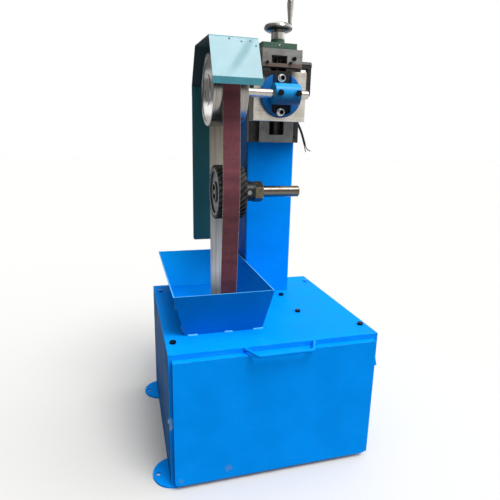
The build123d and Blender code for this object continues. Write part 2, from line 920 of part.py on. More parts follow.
def make_clamp_block():
    flange = rod("y", flange_front, saddle_front - running_gap, column_x, top_z, flange_diameter)
    flange = chamfer(flange.edges().filter_by(GeomType.CIRCLE).group_by(Axis.Y)[0], 3)
    half = barrel_diameter / 2
    neck = half - 3
    flange -= clamp_seats(neck)
    clamp = flange + rod("x", barrel_left, barrel_right, wheel_y, top_z, barrel_diameter)
    clamp += block(barrel_left + 8, barrel_right - 8, wheel_y, flange_front + 1, top_z - neck, top_z + neck)
    for x in shaft_bolt_places():
        clamp += rod("y", wheel_y - half - 4, wheel_y, x, top_z, 2.2 * shaft_bolt_size)
        clamp -= rod("y", wheel_y - half - 4, wheel_y, x, top_z, shaft_bolt_size + hole_gap)
    clamp -= rod("x", barrel_left, barrel_right, wheel_y, top_z, shaft_diameter + 2 * running_gap)
    for z in clamp_screw_places():
        clamp -= rod("y", flange_front, saddle_front, column_x, z, clamp_screw_size + clamp_slot_play)
        clamp -= rod("y", wheel_y, flange_front, column_x, z, washer_diameter + 2 * clamp_slot_play)
    return clamp


def make_clamp_bolts():
    seat = wheel_y - barrel_diameter / 2 - 4
    reach = barrel_diameter / 2 + 4 - shaft_diameter / 2 - 0.5
    return group(
        hex_bolt("y", seat, -1, x, top_z, shaft_bolt_size, reach) for x in shaft_bolt_places()
    )


def make_idler_shaft():
    low, high = idler_bearing_places()
    shaft = rod("x", low, barrel_right + shaft_stub, wheel_y, top_z, shaft_diameter)
    shaft = chamfer(shaft.edges().filter_by(GeomType.CIRCLE).group_by(Axis.X)[-1], 1.5)
    collar_start = high + idler_bearing_width + face_gap
    shaft += rod("x", collar_start, idler_right, wheel_y, top_z, shaft_diameter + 10)
    return shaft + rod("x", low - 16, low, wheel_y, top_z, 20)


def make_shaft_nut():
    x = idler_bearing_places()[0]
    washer = ring("x", x - 3, x - 0.05, wheel_y, top_z, 36, 20 + 2 * running_gap)
    nut = hex_bar("x", x - 13, x - 3, wheel_y, top_z, 30)
    nut -= rod("x", x - 13, x - 3, wheel_y, top_z, 20 + 2 * running_gap)
    return group([washer, nut])


def idler_bearing_places():
    low = idler_left + 26
    high = idler_right - 8 - idler_bearing_width
    return [low, high]


def make_idler_bearings():
    bearings = []
    for x in idler_bearing_places():
        bearing = ring(
            "x", x, x + idler_bearing_width, wheel_y, top_z, idler_bore - 2 * running_gap,
            shaft_diameter + 2 * running_gap,
        )
        for face in (x, x + idler_bearing_width - 1.5):
            bearing -= ring(
                "x", face, face + 1.5, wheel_y, top_z, idler_bore - 14, shaft_diameter + 12
            )
        bearings.append(bearing)
    return group(bearings)


def make_idler_wheel():
    wheel = rod("x", idler_left, idler_right, wheel_y, top_z, idler_diameter)
    wheel = chamfer(wheel.edges().filter_by(GeomType.CIRCLE), 2)
    wheel -= rod("x", idler_left, idler_right, wheel_y, top_z, idler_bore)
    rim, hub = idler_diameter - 24, idler_bore + 24
    wheel -= ring("x", idler_left + 22, idler_right, wheel_y, top_z, rim, hub)
    return wheel - ring("x", idler_left, idler_left + 1.5, wheel_y, top_z, rim, hub)


def make_idler_cap():
    bore = idler_bore - 2 * running_gap
    cap = rod("x", idler_left + 1, idler_left + 7, wheel_y, top_z, bore)
    return chamfer(cap.edges().filter_by(GeomType.CIRCLE).group_by(Axis.X)[0], 1)


# Guard
def guard_line():
    """Folded line of the guard hood in Y-Z: lip, front slope, roof, rear slope and tail."""
    lip_y = wheel_y - idler_r - guard_lip_out
    roof_y0 = wheel_y - idler_r - guard_front_out
    roof_y1 = wheel_y + idler_r + guard_roof_behind
    knee_z = top_z + guard_knee
    return [
        (lip_y, top_z + guard_lip_rise), (lip_y, top_z + guard_lip_rise + guard_lip),
        (roof_y0, top_z + idler_r + guard_roof_front),
        (roof_y1, top_z + idler_r + guard_roof_back), (guard_back_y, knee_z),
        (guard_back_y, knee_z - guard_tail),
    ]


def roof_under(y):
    """Underside height of the guard's roof at a place along Y."""
    (y0, z0), (y1, z1) = guard_line()[2:4]
    return z0 + (z1 - z0) * (y - y0) / (y1 - y0)


def make_guard_hood():
    hood = side_sheet(guard_line(), guard_left, guard_right)
    for x, z in tail_screw_places():
        hood -= rod("y", guard_back_y, guard_back_y + guard_sheet, x, z, guard_screw_size + hole_gap)
    for x, y in roof_screw_places():
        z = roof_under(y)
        hood -= rod("z", z - 3, z + 6, x, y, guard_screw_size + hole_gap)
    return hood


def tail_screw_places():
    z = top_z + guard_knee - guard_tail / 2 - 2
    return [(guard_left + 18, z), (guard_right - 18, z)]


def roof_screw_places():
    return [(guard_right - 16, bracket_y()), (guard_right - 36, bracket_y())]


def make_guard_back():
    z1 = top_z + guard_knee - 3
    z0 = top_z - guard_back_drop
    plate = block(guard_left, guard_right, guard_back_y - guard_sheet, guard_back_y, z0, z1)
    plate = fillet(plate.edges().filter_by(Axis.Y).group_by(Axis.Z)[0], 8)
    for x, z in tail_screw_places():
        plate -= rod("y", guard_back_y - guard_sheet, guard_back_y, x, z, guard_screw_size + hole_gap)
    return plate


def bracket_y():
    return (saddle_front + rail_front) / 2 - 2


def bracket_bolt_places():
    return [saddle_top - 14, saddle_top - bracket_overlap + 14]


def make_guard_bracket():
    """Bent bar from the saddle's left side up to the guard's roof."""
    y0, y1 = bracket_y() - bracket_width / 2, bracket_y() + bracket_width / 2
    top0, top1 = roof_under(y0) - running_gap, roof_under(y1) - running_gap
    x0, x1 = saddle_left - bracket_plate, saddle_left
    low = saddle_top - bracket_overlap
    bracket = side_plate([(y0, low), (y1, low), (y1, top1), (y0, top0)], x0, x1)
    thick = bracket_plate
    bracket += side_plate(
        [(y0, top0 - thick), (y1, top1 - thick), (y1, top1), (y0, top0)], guard_right - 48, x1
    )
    for z in bracket_bolt_places():
        bracket -= rod("x", x0, x1, bracket_y(), z, bracket_bolt_size + hole_gap)
    for x, y in roof_screw_places():
        z = roof_under(y)
        bracket -= rod("z", z - 2 * thick, z + 3, x, y, guard_screw_size + hole_gap)
    return bracket


def make_guard_screws():
    seat = guard_back_y + guard_sheet
    screws = [pan_screw("y", seat, 1, x, z, guard_screw_size, 9) for x, z in tail_screw_places()]
    for x, y in roof_screw_places():
        seat = roof_under(y) + guard_sheet + 0.3
        screws.append(pan_screw("z", seat, 1, x, y, guard_screw_size, 13))
    seat = saddle_left - bracket_plate
    for z in bracket_bolt_places():
        screws.append(hex_bolt("x", seat, -1, bracket_y(), z, bracket_bolt_size, bracket_plate + 15))
    return group(screws)


# Contact wheel and its arm
def make_contact_arm():
    bar = block(
        arm_right - arm_bar_thickness, arm_right, contact_y, column_front - 8,
        contact_z - arm_bar_height / 2, contact_z + arm_bar_height / 2,
    )
    arm = bar + taper(
        "x", arm_left, arm_right, contact_y, contact_z, arm_boss_diameter - 10, arm_boss_diameter
    )
    arm += rod("x", arm_right - arm_bar_thickness, arm_right, contact_y, contact_z, arm_bar_height)
    pad_y0, pad_y1 = arm_pad_front(), arm_pad_front() + arm_pad_length
    low, high = contact_z - arm_pad_height / 2, contact_z + arm_pad_height / 2
    arm += side_plate(
        [
            (column_front - 50, contact_z - arm_bar_height / 2), (pad_y0, low), (pad_y1, low),
            (pad_y1, high), (pad_y0, high), (column_front - 50, contact_z + arm_bar_height / 2),
        ],
        arm_right - arm_plate_thickness, arm_right,
    )
    arm += block(arm_right - 1, column_left, pad_y0, pad_y1, low, high)
    arm -= rod("x", arm_left, arm_right, contact_y, contact_z, axle_diameter + 2 * running_gap)
    for y, z in arm_bolt_places():
        arm -= rod("x", arm_right - arm_plate_thickness, column_left, y, z, column_bolt_size + hole_gap)
    x = set_screw_x()
    return arm - rod("y", contact_y - arm_boss_diameter, contact_y, x, contact_z, 8 + hole_gap)


def set_screw_x():
    return arm_left + 12


def make_contact_axle():
    end = arm_right + axle_end + nut_thickness
    axle = rod("x", arm_left, end, contact_y, contact_z, axle_diameter)
    axle = chamfer(axle.edges().filter_by(GeomType.CIRCLE).group_by(Axis.X)[-1], 2)
    axle += rod("x", contact_right + 2, arm_left, contact_y, contact_z, axle_diameter + 10)
    shoulder = contact_bearing_places()[1] + contact_bearing_width + face_gap
    axle += rod("x", shoulder, contact_right + 2, contact_y, contact_z, axle_journal + 8)
    axle += rod("x", axle_tip(), shoulder, contact_y, contact_z, axle_journal)
    return axle - rod("x", axle_tip(), axle_tip() + 24, contact_y, contact_z, 8 + hole_gap)


def axle_tip():
    return contact_bearing_places()[0] - face_gap


def make_axle_fixings():
    nut = hex_bar("x", arm_right, arm_right + nut_thickness, contact_y, contact_z, nut_across_flats)
    crown = taper(
        "x", arm_right, arm_right + nut_thickness, contact_y, contact_z,
        nut_across_flats * 1.6, nut_across_flats * 1.02,
    )
    nut = nut & crown
    bore = axle_diameter + 2 * running_gap
    nut -= rod("x", arm_right, arm_right + nut_thickness, contact_y, contact_z, bore)
    seat = axle_tip()
    washer = ring("x", seat - 3, seat, contact_y, contact_z, 32, 8 + hole_gap)
    screw = hex_bolt("x", seat - 3, -1, contact_y, contact_z, 8, 25)
    face = contact_y - arm_boss_diameter / 2 + 1
    reach = contact_y - axle_diameter / 2 - 0.5 - face
    lock = hex_bolt("y", face, -1, set_screw_x(), contact_z, 8, reach)
    return group([nut, washer, screw, lock])


def contact_bearing_places():
    return [contact_left + 9, contact_right - 9 - contact_bearing_width]


def make_contact_bearings():
    bearings = []
    for x in contact_bearing_places():
        bearing = ring(
            "x", x, x + contact_bearing_width, contact_y, contact_z,
            contact_bearing_outer - 2 * running_gap, axle_journal + 2 * running_gap,
        )
        for face in (x, x + contact_bearing_width - 1.5):
            bearing -= ring(
                "x", face, face + 1.5, contact_y, contact_z, contact_bearing_outer - 10, axle_journal + 9
            )
        bearings.append(bearing)
    return group(bearings)


def hub_diameter():
    return contact_diameter - 2 * tyre_thickness


def make_contact_hub():
    hub = rod("x", contact_left, contact_right, contact_y, contact_z, hub_diameter())
    hub -= rod("x", contact_left, contact_right, contact_y, contact_z, contact_bearing_outer)
    rim, boss = hub_diameter() - 16, contact_bearing_outer + 14
    for x0, x1 in ((contact_left, contact_left + 5), (contact_right - 12, contact_right)):
        hub -= ring("x", x0, x1, contact_y, contact_z, rim, boss)
    return hub


def make_contact_tyre():
    bore = hub_diameter() + 2 * running_gap
    tyre = ring("x", contact_left, contact_right, contact_y, contact_z, contact_diameter, bore)
    tyre = chamfer(tyre.edges().filter_by(GeomType.CIRCLE).sort_by(SortBy.RADIUS)[-2:], 1.5)
    slant = math.radians(slot_slant)
    step = contact_width / slot_pieces
    cutter = Rot(0, 0, slot_slant) * Box(step / math.cos(slant) + 2 * slot_width, slot_width, 2 * slot_depth)
    lean = math.degrees(2 * step * math.tan(slant) / contact_diameter)
    cutters = []
    for index in range(tyre_slots):
        for piece in range(slot_pieces):
            shift = piece - (slot_pieces - 1) / 2
            turn = Rot(360 * index / tyre_slots - shift * lean, 0, 0)
            place = Pos(contact_x + shift * step, contact_y, contact_z) * turn
            cutters.append(place * Pos(0, 0, contact_diameter / 2) * cutter)
    return tyre - cutters


# Belt and drive
def belt_face(gap):
    """Area inside the belt's path at a gap outside the wheels."""
    circles = belt_circles(top_z, gap)
    leaves = belt_normals(circles)
    enters = leaves[-1:] + leaves[:-1]
    edges = []
    ends = []
    for (y, z, r), into, turn in zip(circles, enters, belt_turns(leaves)):
        points = [
            (y + r * math.cos(into + share * turn), z + r * math.sin(into + share * turn))
            for share in (0, 0.5, 1)
        ]
        edges.append(ThreePointArc(*points))
        ends.append((points[0], points[2]))
    for here, there in zip(ends, ends[1:] + ends[:1]):
        edges.append(Line(here[1], there[0]))
    return make_face(edges)


def make_belt():
    face = belt_face(belt_gap + belt_thickness) - belt_face(belt_gap)
    return Pos(belt_x - belt_width / 2, 0, 0) * extrude(Plane.YZ * face, belt_width)


def make_drive_wheel():
    x0, x1 = belt_x - motor_shaft_length / 2, shoulder_x
    wheel = rod("x", x0, x1, wheel_y, motor_z, drive_diameter)
    wheel = chamfer(wheel.edges().filter_by(GeomType.CIRCLE), 1.5)
    for a, b in ((x0, x0 + 15), (x1 - 15, x1)):
        wheel -= ring("x", a, b, wheel_y, motor_z, drive_diameter - 24, motor_shaft_diameter + 32)
    wheel -= rod("x", x0, x1, wheel_y, motor_z, motor_shaft_diameter + 2 * running_gap)
    return wheel - key_slot(x0, x1, running_gap)


def key_slot(x0, x1, gap):
    half = key_width / 2 + gap
    r = motor_shaft_diameter / 2
    return block(x0, x1, wheel_y - half, wheel_y + half, motor_z + r - 4 - gap, motor_z + r + 3 + gap)


def make_drive_fixings():
    x0 = belt_x - motor_shaft_length / 2
    key = key_slot(x0 + 4, shoulder_x - 4, 0)
    washer = ring("x", x0 - 4, x0, wheel_y, motor_z, 42, 10 + hole_gap)
    bolt = hex_bolt("x", x0 - 4, -1, wheel_y, motor_z, 10, 30)
    return group([key, washer, bolt])


# Motor
def motor_rod(p, q, diameter):
    return rod("x", p, q, wheel_y, motor_z, diameter)


def motor_ring(p, q, outer, inner):
    return ring("x", p, q, wheel_y, motor_z, outer, inner)


def make_motor_frame():
    frame = motor_rod(frame_x0, frame_x1, frame_outer)
    fin = (frame_outer + motor_fin_height) / 2
    for index in range(motor_fins):
        angle = 360 * index / motor_fins
        blade = Pos(0, 0, fin) * Box(motor_frame_length, 3, motor_fin_height + 2)
        frame += Pos((frame_x0 + frame_x1) / 2, wheel_y, motor_z) * Rot(angle, 0, 0) * blade
    for side in (-1, 1):
        y = wheel_y + side * motor_foot_pitch_y / 2
        frame += block(
            foot_x0 - 20, foot_x1 + 20, y - 18, y + 18, plate_under - motor_foot_thickness, plate_under
        )
        web = y - side * 11
        frame += block(foot_x0 - 18, foot_x1 + 18, web - 7, web + 7, motor_z + 30, plate_under - 1)
    frame -= motor_rod(frame_x0 - 30, frame_x1 + 30, motor_frame_bore)
    for x, y in motor_bolt_places():
        frame -= rod("z", motor_z, plate_under, x, y, motor_bolt_size + hole_gap)
        frame -= rod("z", motor_z, plate_under - motor_foot_thickness, x, y, 2.6 * motor_bolt_size)
    return frame


def bearing_places():
    return [frame_x0 - 13 - motor_bearing_width, frame_x1 + 4]


def make_motor_end_shields():
    seat = motor_bearing_outer + 2 * running_gap
    pass_hole = motor_journal + 4
    spigot = motor_frame_bore - 2 * running_gap
    drive_x, fan_x = bearing_places()
    drive_end = motor_rod(frame_x0 - 12, frame_x0, frame_outer) + motor_rod(frame_x0, frame_x0 + 4, spigot)
    drive_end += motor_rod(drive_x - 5, frame_x0, motor_bearing_outer + 22)
    drive_end -= motor_rod(drive_x, frame_x0 + 4, seat)
    drive_end -= motor_rod(drive_x - 5, drive_x, pass_hole)
    fan_end = motor_rod(frame_x1, frame_x1 + 12, fin_outer - 4.4)
    fan_end += motor_rod(frame_x1 - 4, frame_x1, spigot)
    fan_end += motor_rod(frame_x1, fan_x + motor_bearing_width + 5, motor_bearing_outer + 18)
    fan_end -= motor_rod(frame_x1 - 4, fan_x + motor_bearing_width, seat)
    fan_end -= motor_rod(fan_x, fan_x + motor_bearing_width + 5, pass_hole)
    return group([drive_end, fan_end])


def stator_span():
    middle = (frame_x0 + frame_x1) / 2
    return middle - stator_length / 2, middle + stator_length / 2


def make_motor_stator():
    x0, x1 = stator_span()
    inner = rotor_diameter + 1
    stator = motor_ring(x0, x1, motor_frame_bore - 2 * running_gap, inner)
    for a, b in ((x0 - 24, x0), (x1, x1 + 24)):
        stator += motor_ring(a, b, motor_frame_bore - 14, inner + 8)
    return stator


def fan_span():
    start = bearing_places()[1] + motor_bearing_width + 14
    return start, start + 24


def make_motor_rotor():
    x0, x1 = stator_span()
    drive_x, fan_x = bearing_places()
    rotor = motor_rod(x0, x1, rotor_diameter)
    rotor += motor_rod(drive_x - 4, fan_x + motor_bearing_width, motor_journal)
    rotor += motor_rod(belt_x - motor_shaft_length / 2, drive_x - 4, motor_shaft_diameter)
    rotor += motor_rod(fan_x + motor_bearing_width, fan_span()[1], motor_journal - 5)
    start = belt_x - motor_shaft_length / 2
    rotor -= motor_rod(start, start + 32, 10 + hole_gap)
    return rotor - key_slot(start + 4, shoulder_x - 4, running_gap)


def make_motor_bearings():
    return group(
        motor_ring(x, x + motor_bearing_width, motor_bearing_outer, motor_journal + 2 * running_gap)
        for x in bearing_places()
    )


def make_motor_fan():
    x0, x1 = fan_span()
    fan = motor_rod(x0, x1, 50) + motor_rod(x0, x0 + 4, fan_diameter)
    for index in range(8):
        blade = Pos(0, 0, (fan_diameter - 12) / 4 + 11) * Box(x1 - x0, 3, fan_diameter / 2 - 28)
        fan += Pos((x0 + x1) / 2, wheel_y, motor_z) * Rot(45 * index, 0, 0) * blade
    return fan - motor_rod(x0, x1, motor_journal - 5 + 2 * running_gap)


def make_motor_fan_cover():
    x0, x1 = frame_x1 + 1, fan_span()[1] + 12
    inner = fin_outer - 4
    cover = motor_ring(x0, x1, fin_outer, inner) + motor_rod(x1 - 2, x1, fin_outer)
    for radius, count in ((28, 8), (48, 14), (68, 20)):
        for index in range(count):
            angle = 2 * math.pi * index / count
            y, z = wheel_y + radius * math.cos(angle), motor_z + radius * math.sin(angle)
            cover -= rod("x", x1 - 2, x1, y, z, 12)
    return cover


def make_motor_bolts():
    foot = plate_under - motor_foot_thickness
    pieces = []
    for x, y in motor_bolt_places():
        reach = cabinet_height - foot + 11
        pieces.append(hex_bolt("z", cabinet_height, 1, x, y, motor_bolt_size, reach))
        nut = hex_bar("z", foot - 8, foot, x, y, 1.6 * motor_bolt_size)
        pieces.append(nut - rod("z", foot - 8, foot, x, y, motor_bolt_size + 2 * running_gap))
    return group(pieces)


# Switch box
def box_top():
    return cabinet_height - box_top_gap


def box_bottom():
    return box_top() - box_height


def box_middle_y():
    return front + box_front_gap + box_depth / 2


def box_lean():
    """Angle in degrees of the sloping face from upright."""
    return math.degrees(math.atan2(box_bottom_out - box_top_out, box_height))


def box_prism(wall):
    """Wedge against the cabinet's right side, drawn in by a wall."""
    slope = wall / math.cos(math.radians(box_lean()))
    lean = math.tan(math.radians(box_lean()))
    z0, z1 = box_bottom() + wall, box_top() - wall
    out0 = right + box_bottom_out - slope - wall * lean
    out1 = right + box_top_out - slope + wall * lean
    outline = make_face(Polyline((right, z0), (out0, z0), (out1, z1), (right, z1), close=True))
    y1 = front + box_front_gap + box_depth - wall
    return Pos(0, y1, 0) * extrude(Plane.XZ * outline, box_depth - 2 * wall)


def button_plane(side):
    """Place on the sloping face, with its own Z along the face's normal, for one of the two buttons."""
    lean = math.radians(box_lean())
    z = (box_top() + box_bottom()) / 2
    x = right + (box_top_out + box_bottom_out) / 2
    y = box_middle_y() + side * button_pitch / 2
    return Plane(origin=(x, y, z), x_dir=(0, 1, 0), z_dir=(math.cos(lean), 0, math.sin(lean)))


def make_switch_box():
    box = box_prism(0) - box_prism(box_wall)
    for side in (-1, 1):
        plane = button_plane(side)
        collar = Cylinder(button_diameter / 2 + 4, 2, align=FROM_BASE)
        box += plane.location * collar
        bore = Cylinder(button_diameter / 2 + face_gap, 12)
        box -= plane.location * bore
    return box


def make_button(side):
    cap = Pos(0, 0, -2.5) * Cylinder(button_diameter / 2, button_rise + 2.5, align=FROM_BASE)
    cap = fillet(cap.edges().filter_by(GeomType.CIRCLE).group_by(Axis.Z)[-1], 1.5)
    return button_plane(side).location * cap


# Cable stub: hand-placed route points, and the two bared cores it ends in
cable_out = [(188.5, 1005.5), (199.0, 989.5), (208.5, 970.0), (216.7, 948.5), (224.0, 926.0)]
core_long = [(222.42, 925.22), (225.2, 913.5), (228.6, 900.5)]
core_wide = [(225.74, 926.31), (229.6, 915.5), (237.2, 908.6), (250.0, 904.0)]
cable_behind = 17.5
cable_points = [(x, column_front + cable_behind, z) for x, z in cable_out]
core_routes = [[(x, column_front + cable_behind, z) for x, z in line] for line in (core_long, core_wide)]


def cord_radii(points):
    """Bend radius at each corner: 0.45 of the shorter run over the tangent of half the turn."""
    radii = []
    corners = [Vector(*point) for point in points]
    for before, here, after in zip(corners, corners[1:], corners[2:]):
        into, out = here - before, after - here
        half_turn = math.radians(into.get_angle(out)) / 2
        radii.append(0.45 * min(into.length, out.length) / math.tan(half_turn))
    return radii


def cord_tube(name, points, diameter):
    radii = cord_radii(points)
    path = FilletPolyline(*points, radius=radii)
    tube = sweep(Plane(origin=path @ 0, z_dir=path % 0) * Circle(diameter / 2), path=path)
    section = math.pi * diameter**2 / 4
    print(name, "length", round(path.length, 1), "radii", [round(r, 1) for r in radii],
          "volume ratio", round(tube.volume / (section * path.length), 4))
    return tube


def cable_direction():
    start, after = Vector(*cable_points[0]), Vector(*cable_points[1])
    return (after - start).normalized()


def grommet_z():
    """Height at which the cable's line meets the column's side."""
    start, along = Vector(*cable_points[0]), cable_direction()
    return start.Z - along.Z * (start.X - column_right) / along.X


def make_cable_grommet():
    y, z = cable_points[0][1], grommet_z()
    flange = rod("x", column_right, column_right + 3, y, z, 3 * cable_diameter)
    plug = rod("x", column_right - column_wall, column_right, y, z, 1.5 * cable_diameter - 2 * running_gap)
    start, along = Vector(*cable_points[0]), cable_direction()
    length = (start.X - column_right) / along.X
    nose = Plane(origin=start, z_dir=-along).location * Cone(
        cable_diameter / 2 + 1.2, cable_diameter / 2 + 3, length, align=FROM_BASE
    )
    inside = block(
        column_right - 3 * cable_diameter, column_right, y - 2 * cable_diameter, y + 2 * cable_diameter,
        z - 3 * cable_diameter, z + 3 * cable_diameter,
    )
    return flange + plug + (nose - inside)


def make_supply_cable():
    return cord_tube("supply_cable", cable_points, cable_diameter)


def make_cable_cores():
    return group(
        cord_tube("core_" + str(number), points, core_diameter)
        for number, points in enumerate(core_routes, 1)
    )


pieces = {
    "base_plate": make_base_plate,
    "cabinet_shell": make_cabinet_shell,
    "top_plate": make_top_plate,
    "top_plate_bolts": make_top_plate_bolts,
    "hopper": make_hopper,
    "front_cover": make_front_cover,
    "front_handle": make_front_handle,
    "cover_screws": make_cover_screws,
    "column": make_column,
    "column_bolts": make_column_bolts,
    "slide_base": make_slide_base,
    "head_block": make_head_block,
    "end_plate": make_end_plate,
    "head_screws": make_head_screws,
    "oil_nipple": make_oil_nipple,
    "lead_screw": make_lead_screw,
    "dial_collar": make_dial_collar,
    "handwheel": make_handwheel,
    "crank_spindle": make_crank_spindle,
    "crank_handle": make_crank_handle,
    "lock_lever": make_lock_lever,
    "saddle": make_saddle,
    "gib": make_gib,
    "gib_screws": make_gib_screws,
    "feed_nut": make_feed_nut,
    "clamp_screws": make_clamp_screws,
    "clamp_block": make_clamp_block,
    "clamp_bolts": make_clamp_bolts,
    "idler_shaft": make_idler_shaft,
    "shaft_nut": make_shaft_nut,
    "idler_bearings": make_idler_bearings,
    "idler_wheel": make_idler_wheel,
    "idler_cap": make_idler_cap,
    "guard_hood": make_guard_hood,
    "guard_back": make_guard_back,
    "guard_bracket": make_guard_bracket,
    "guard_screws": make_guard_screws,
    "contact_arm": make_contact_arm,
    "contact_axle": make_contact_axle,
    "axle_fixings": make_axle_fixings,
    "contact_bearings": make_contact_bearings,
    "contact_hub": make_contact_hub,
    "contact_tyre": make_contact_tyre,
    "belt": make_belt,
    "drive_wheel": make_drive_wheel,
    "drive_fixings": make_drive_fixings,
    "motor_frame": make_motor_frame,
    "motor_end_shields": make_motor_end_shields,
    "motor_stator": make_motor_stator,
    "motor_rotor": make_motor_rotor,
    "motor_bearings": make_motor_bearings,
    "motor_fan": make_motor_fan,
    "motor_fan_cover": make_motor_fan_cover,
    "motor_bolts": make_motor_bolts,
    "switch_box": make_switch_box,
    "start_button": lambda: make_button(-1),
    "stop_button": lambda: make_button(1),
    "cable_grommet": make_cable_grommet,
    "supply_cable": make_supply_cable,
    "cable_cores": make_cable_cores,
}

os.makedirs("parts", exist_ok=True)
print("top wheel axis height", round(top_z, 3), "belt length", round(belt_path_length(top_z), 3))
for node, make in pieces.items():
    export_step(make(), "parts/" + node + ".step")
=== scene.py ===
"""Looks of a floor-standing vertical belt grinder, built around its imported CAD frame."""

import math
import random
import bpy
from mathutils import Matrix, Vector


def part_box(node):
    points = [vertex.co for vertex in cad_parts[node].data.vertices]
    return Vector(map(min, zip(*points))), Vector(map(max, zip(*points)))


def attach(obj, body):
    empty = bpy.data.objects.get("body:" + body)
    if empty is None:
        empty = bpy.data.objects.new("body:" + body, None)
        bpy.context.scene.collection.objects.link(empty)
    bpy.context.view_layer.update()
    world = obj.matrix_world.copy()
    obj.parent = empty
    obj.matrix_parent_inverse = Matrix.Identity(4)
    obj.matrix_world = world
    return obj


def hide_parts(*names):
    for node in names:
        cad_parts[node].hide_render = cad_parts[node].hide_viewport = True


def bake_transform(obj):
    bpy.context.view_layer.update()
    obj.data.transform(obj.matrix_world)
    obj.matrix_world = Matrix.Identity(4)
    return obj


bl_info = {
    "name": "Vertical Belt Grinder",
    "version": (1, 0, 0),
    "blender": (4, 5, 0),
    "location": "View3D > Sidebar > Grinder",
    "description": "Belt, cable, welds, finishes and stage of a vertical belt grinder",
    "category": "Add Mesh",
}

from functools import partial

import bmesh
import bpy
from bpy.props import FloatProperty, FloatVectorProperty, IntProperty, PointerProperty
from bpy.types import NodeSocket, Operator, Panel, PropertyGroup
from mathutils import Matrix, Vector

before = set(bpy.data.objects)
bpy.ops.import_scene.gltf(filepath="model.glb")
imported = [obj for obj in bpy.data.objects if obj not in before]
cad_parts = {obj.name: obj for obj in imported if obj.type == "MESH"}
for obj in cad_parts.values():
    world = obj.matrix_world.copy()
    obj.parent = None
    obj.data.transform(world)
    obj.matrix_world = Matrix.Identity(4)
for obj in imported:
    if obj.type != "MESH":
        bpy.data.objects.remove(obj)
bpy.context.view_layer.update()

MM = 0.001
# Socket numbers of a colour Mix node
FACTOR, FIRST, SECOND, MIXED = 0, 6, 7, 2
# Most of a noise lies in this span
NOISE = 0.3, 0.7
# Width of a sharp border in a pattern
HAIR = 0.01 * MM
# Width of the camera's frame, in millimetres
FRAME_WIDTH = 36.0


def linear(hex_colour):
    """Linear RGBA of an sRGB hex colour."""
    parts = [int(hex_colour[i : i + 2], 16) / 255 for i in (1, 3, 5)]
    return (*[c / 12.92 if c <= 0.04045 else ((c + 0.055) / 1.055) ** 2.4 for c in parts], 1.0)


def paler(colour, times):
    """Colour made brighter."""
    return (*[times * part for part in colour[:3]], 1.0)


def swatch(name, hex_colour, description):
    """Colour setting of a finish."""
    return FloatVectorProperty(
        name=name, description=description, default=linear(hex_colour), subtype="COLOR", size=4, min=0, max=1
    )


def length(name, millimetres, description):
    """Length setting of a piece, kept in metres."""
    return FloatProperty(
        name=name, description=description, default=millimetres * MM, min=0, unit="LENGTH", precision=5
    )


def angle(name, degrees, description):
    """Angle setting of the stage, kept in radians."""
    return FloatProperty(name=name, description=description, default=math.radians(degrees), subtype="ANGLE")


def middle(node):
    """Middle of a CAD node's box."""
    low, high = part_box(node)
    return (low + high) / 2


class GRINDER_PG_paint(PropertyGroup):
    """Painted finishes."""

    blue: swatch("Blue enamel", "#008BEE", "Sprayed enamel of cabinet, hopper and column")
    # Painted shade: the hopper's outside is given a deeper blue than the cabinet
    blue_hopper: swatch("Hopper blue", "#006BBC", "Thicker, deeper coat on the hopper's outside")
    blue_worn: swatch("Worn blue", "#58B4F4", "Enamel thinned and chalked on its edges")
    blue_clamp: swatch("Clamp blue", "#0496DC", "Thin, bright coat on the clamp's barrel")
    # Painted shade: the flange is given a deeper blue than the barrel
    blue_flange: swatch("Flange blue", "#0A6AB4", "Deeper coat on the clamp's flange")
    scuff: swatch("Scuff", "#6E8296", "Grey rub marks in the enamel")
    hood: swatch("Hood outside", "#3F8898", "Gloss sea-green enamel on the guard's outside")
    hood_inside: swatch("Hood inside", "#0E2E33", "Dark green enamel inside the hood")
    guard: swatch("Guard back", "#2A646B", "Dark green enamel of the guard's back and bracket")
    end_plate: swatch("End plate", "#486855", "Green hammer paint on the slide's end plate")
    black: swatch("Black paint", "#16171A", "Brushed black paint on arm and lever")
    motor: swatch("Motor grey", "#6D7A80", "Grey machine paint on the motor")


class GRINDER_PG_metal(PropertyGroup):
    """Bare and plated metals."""

    iron: swatch("Cast iron", "#727476", "Planed cast iron of the slide base")
    saddle: swatch("Ground iron", "#F0EBE0", "Surface-ground face of the saddle")
    head: swatch("Head block", "#A6A7A5", "Milled steel of the head block")
    steel: swatch("Bright steel", "#C4BDB3", "Ground shafts and bearings")
    aluminium: swatch("Aluminium", "#A5A19B", "Turned aluminium of the wheels")
    hub: swatch("Hub aluminium", "#66686A", "Dull turned aluminium of the contact wheel")
    chrome: swatch("Chrome", "#F4F0EA", "Polished chrome of handwheel and crank")
    zinc: swatch("Zinc", "#C9CBCC", "Bright zinc of the shaft nut")
    zinc_yellow: swatch("Yellow zinc", "#6E6656", "Yellow passivated zinc of the axle nut")
    axle: swatch("Axle steel", "#766E66", "Oily drawn steel of the contact wheel's axle")
    # Partly painted shade: the lead screw's steel is darker for the dark channel it lies in
    screw: swatch("Screw steel", "#45423E", "Oily steel of the lead screw")
    oxide: swatch("Black oxide", "#232427", "Black oxide of the bolts")
    bronze: swatch("Bronze", "#A67C45", "Bronze of the feed nut")
    copper: swatch("Copper", "#B8734A", "Motor windings and bare wire")


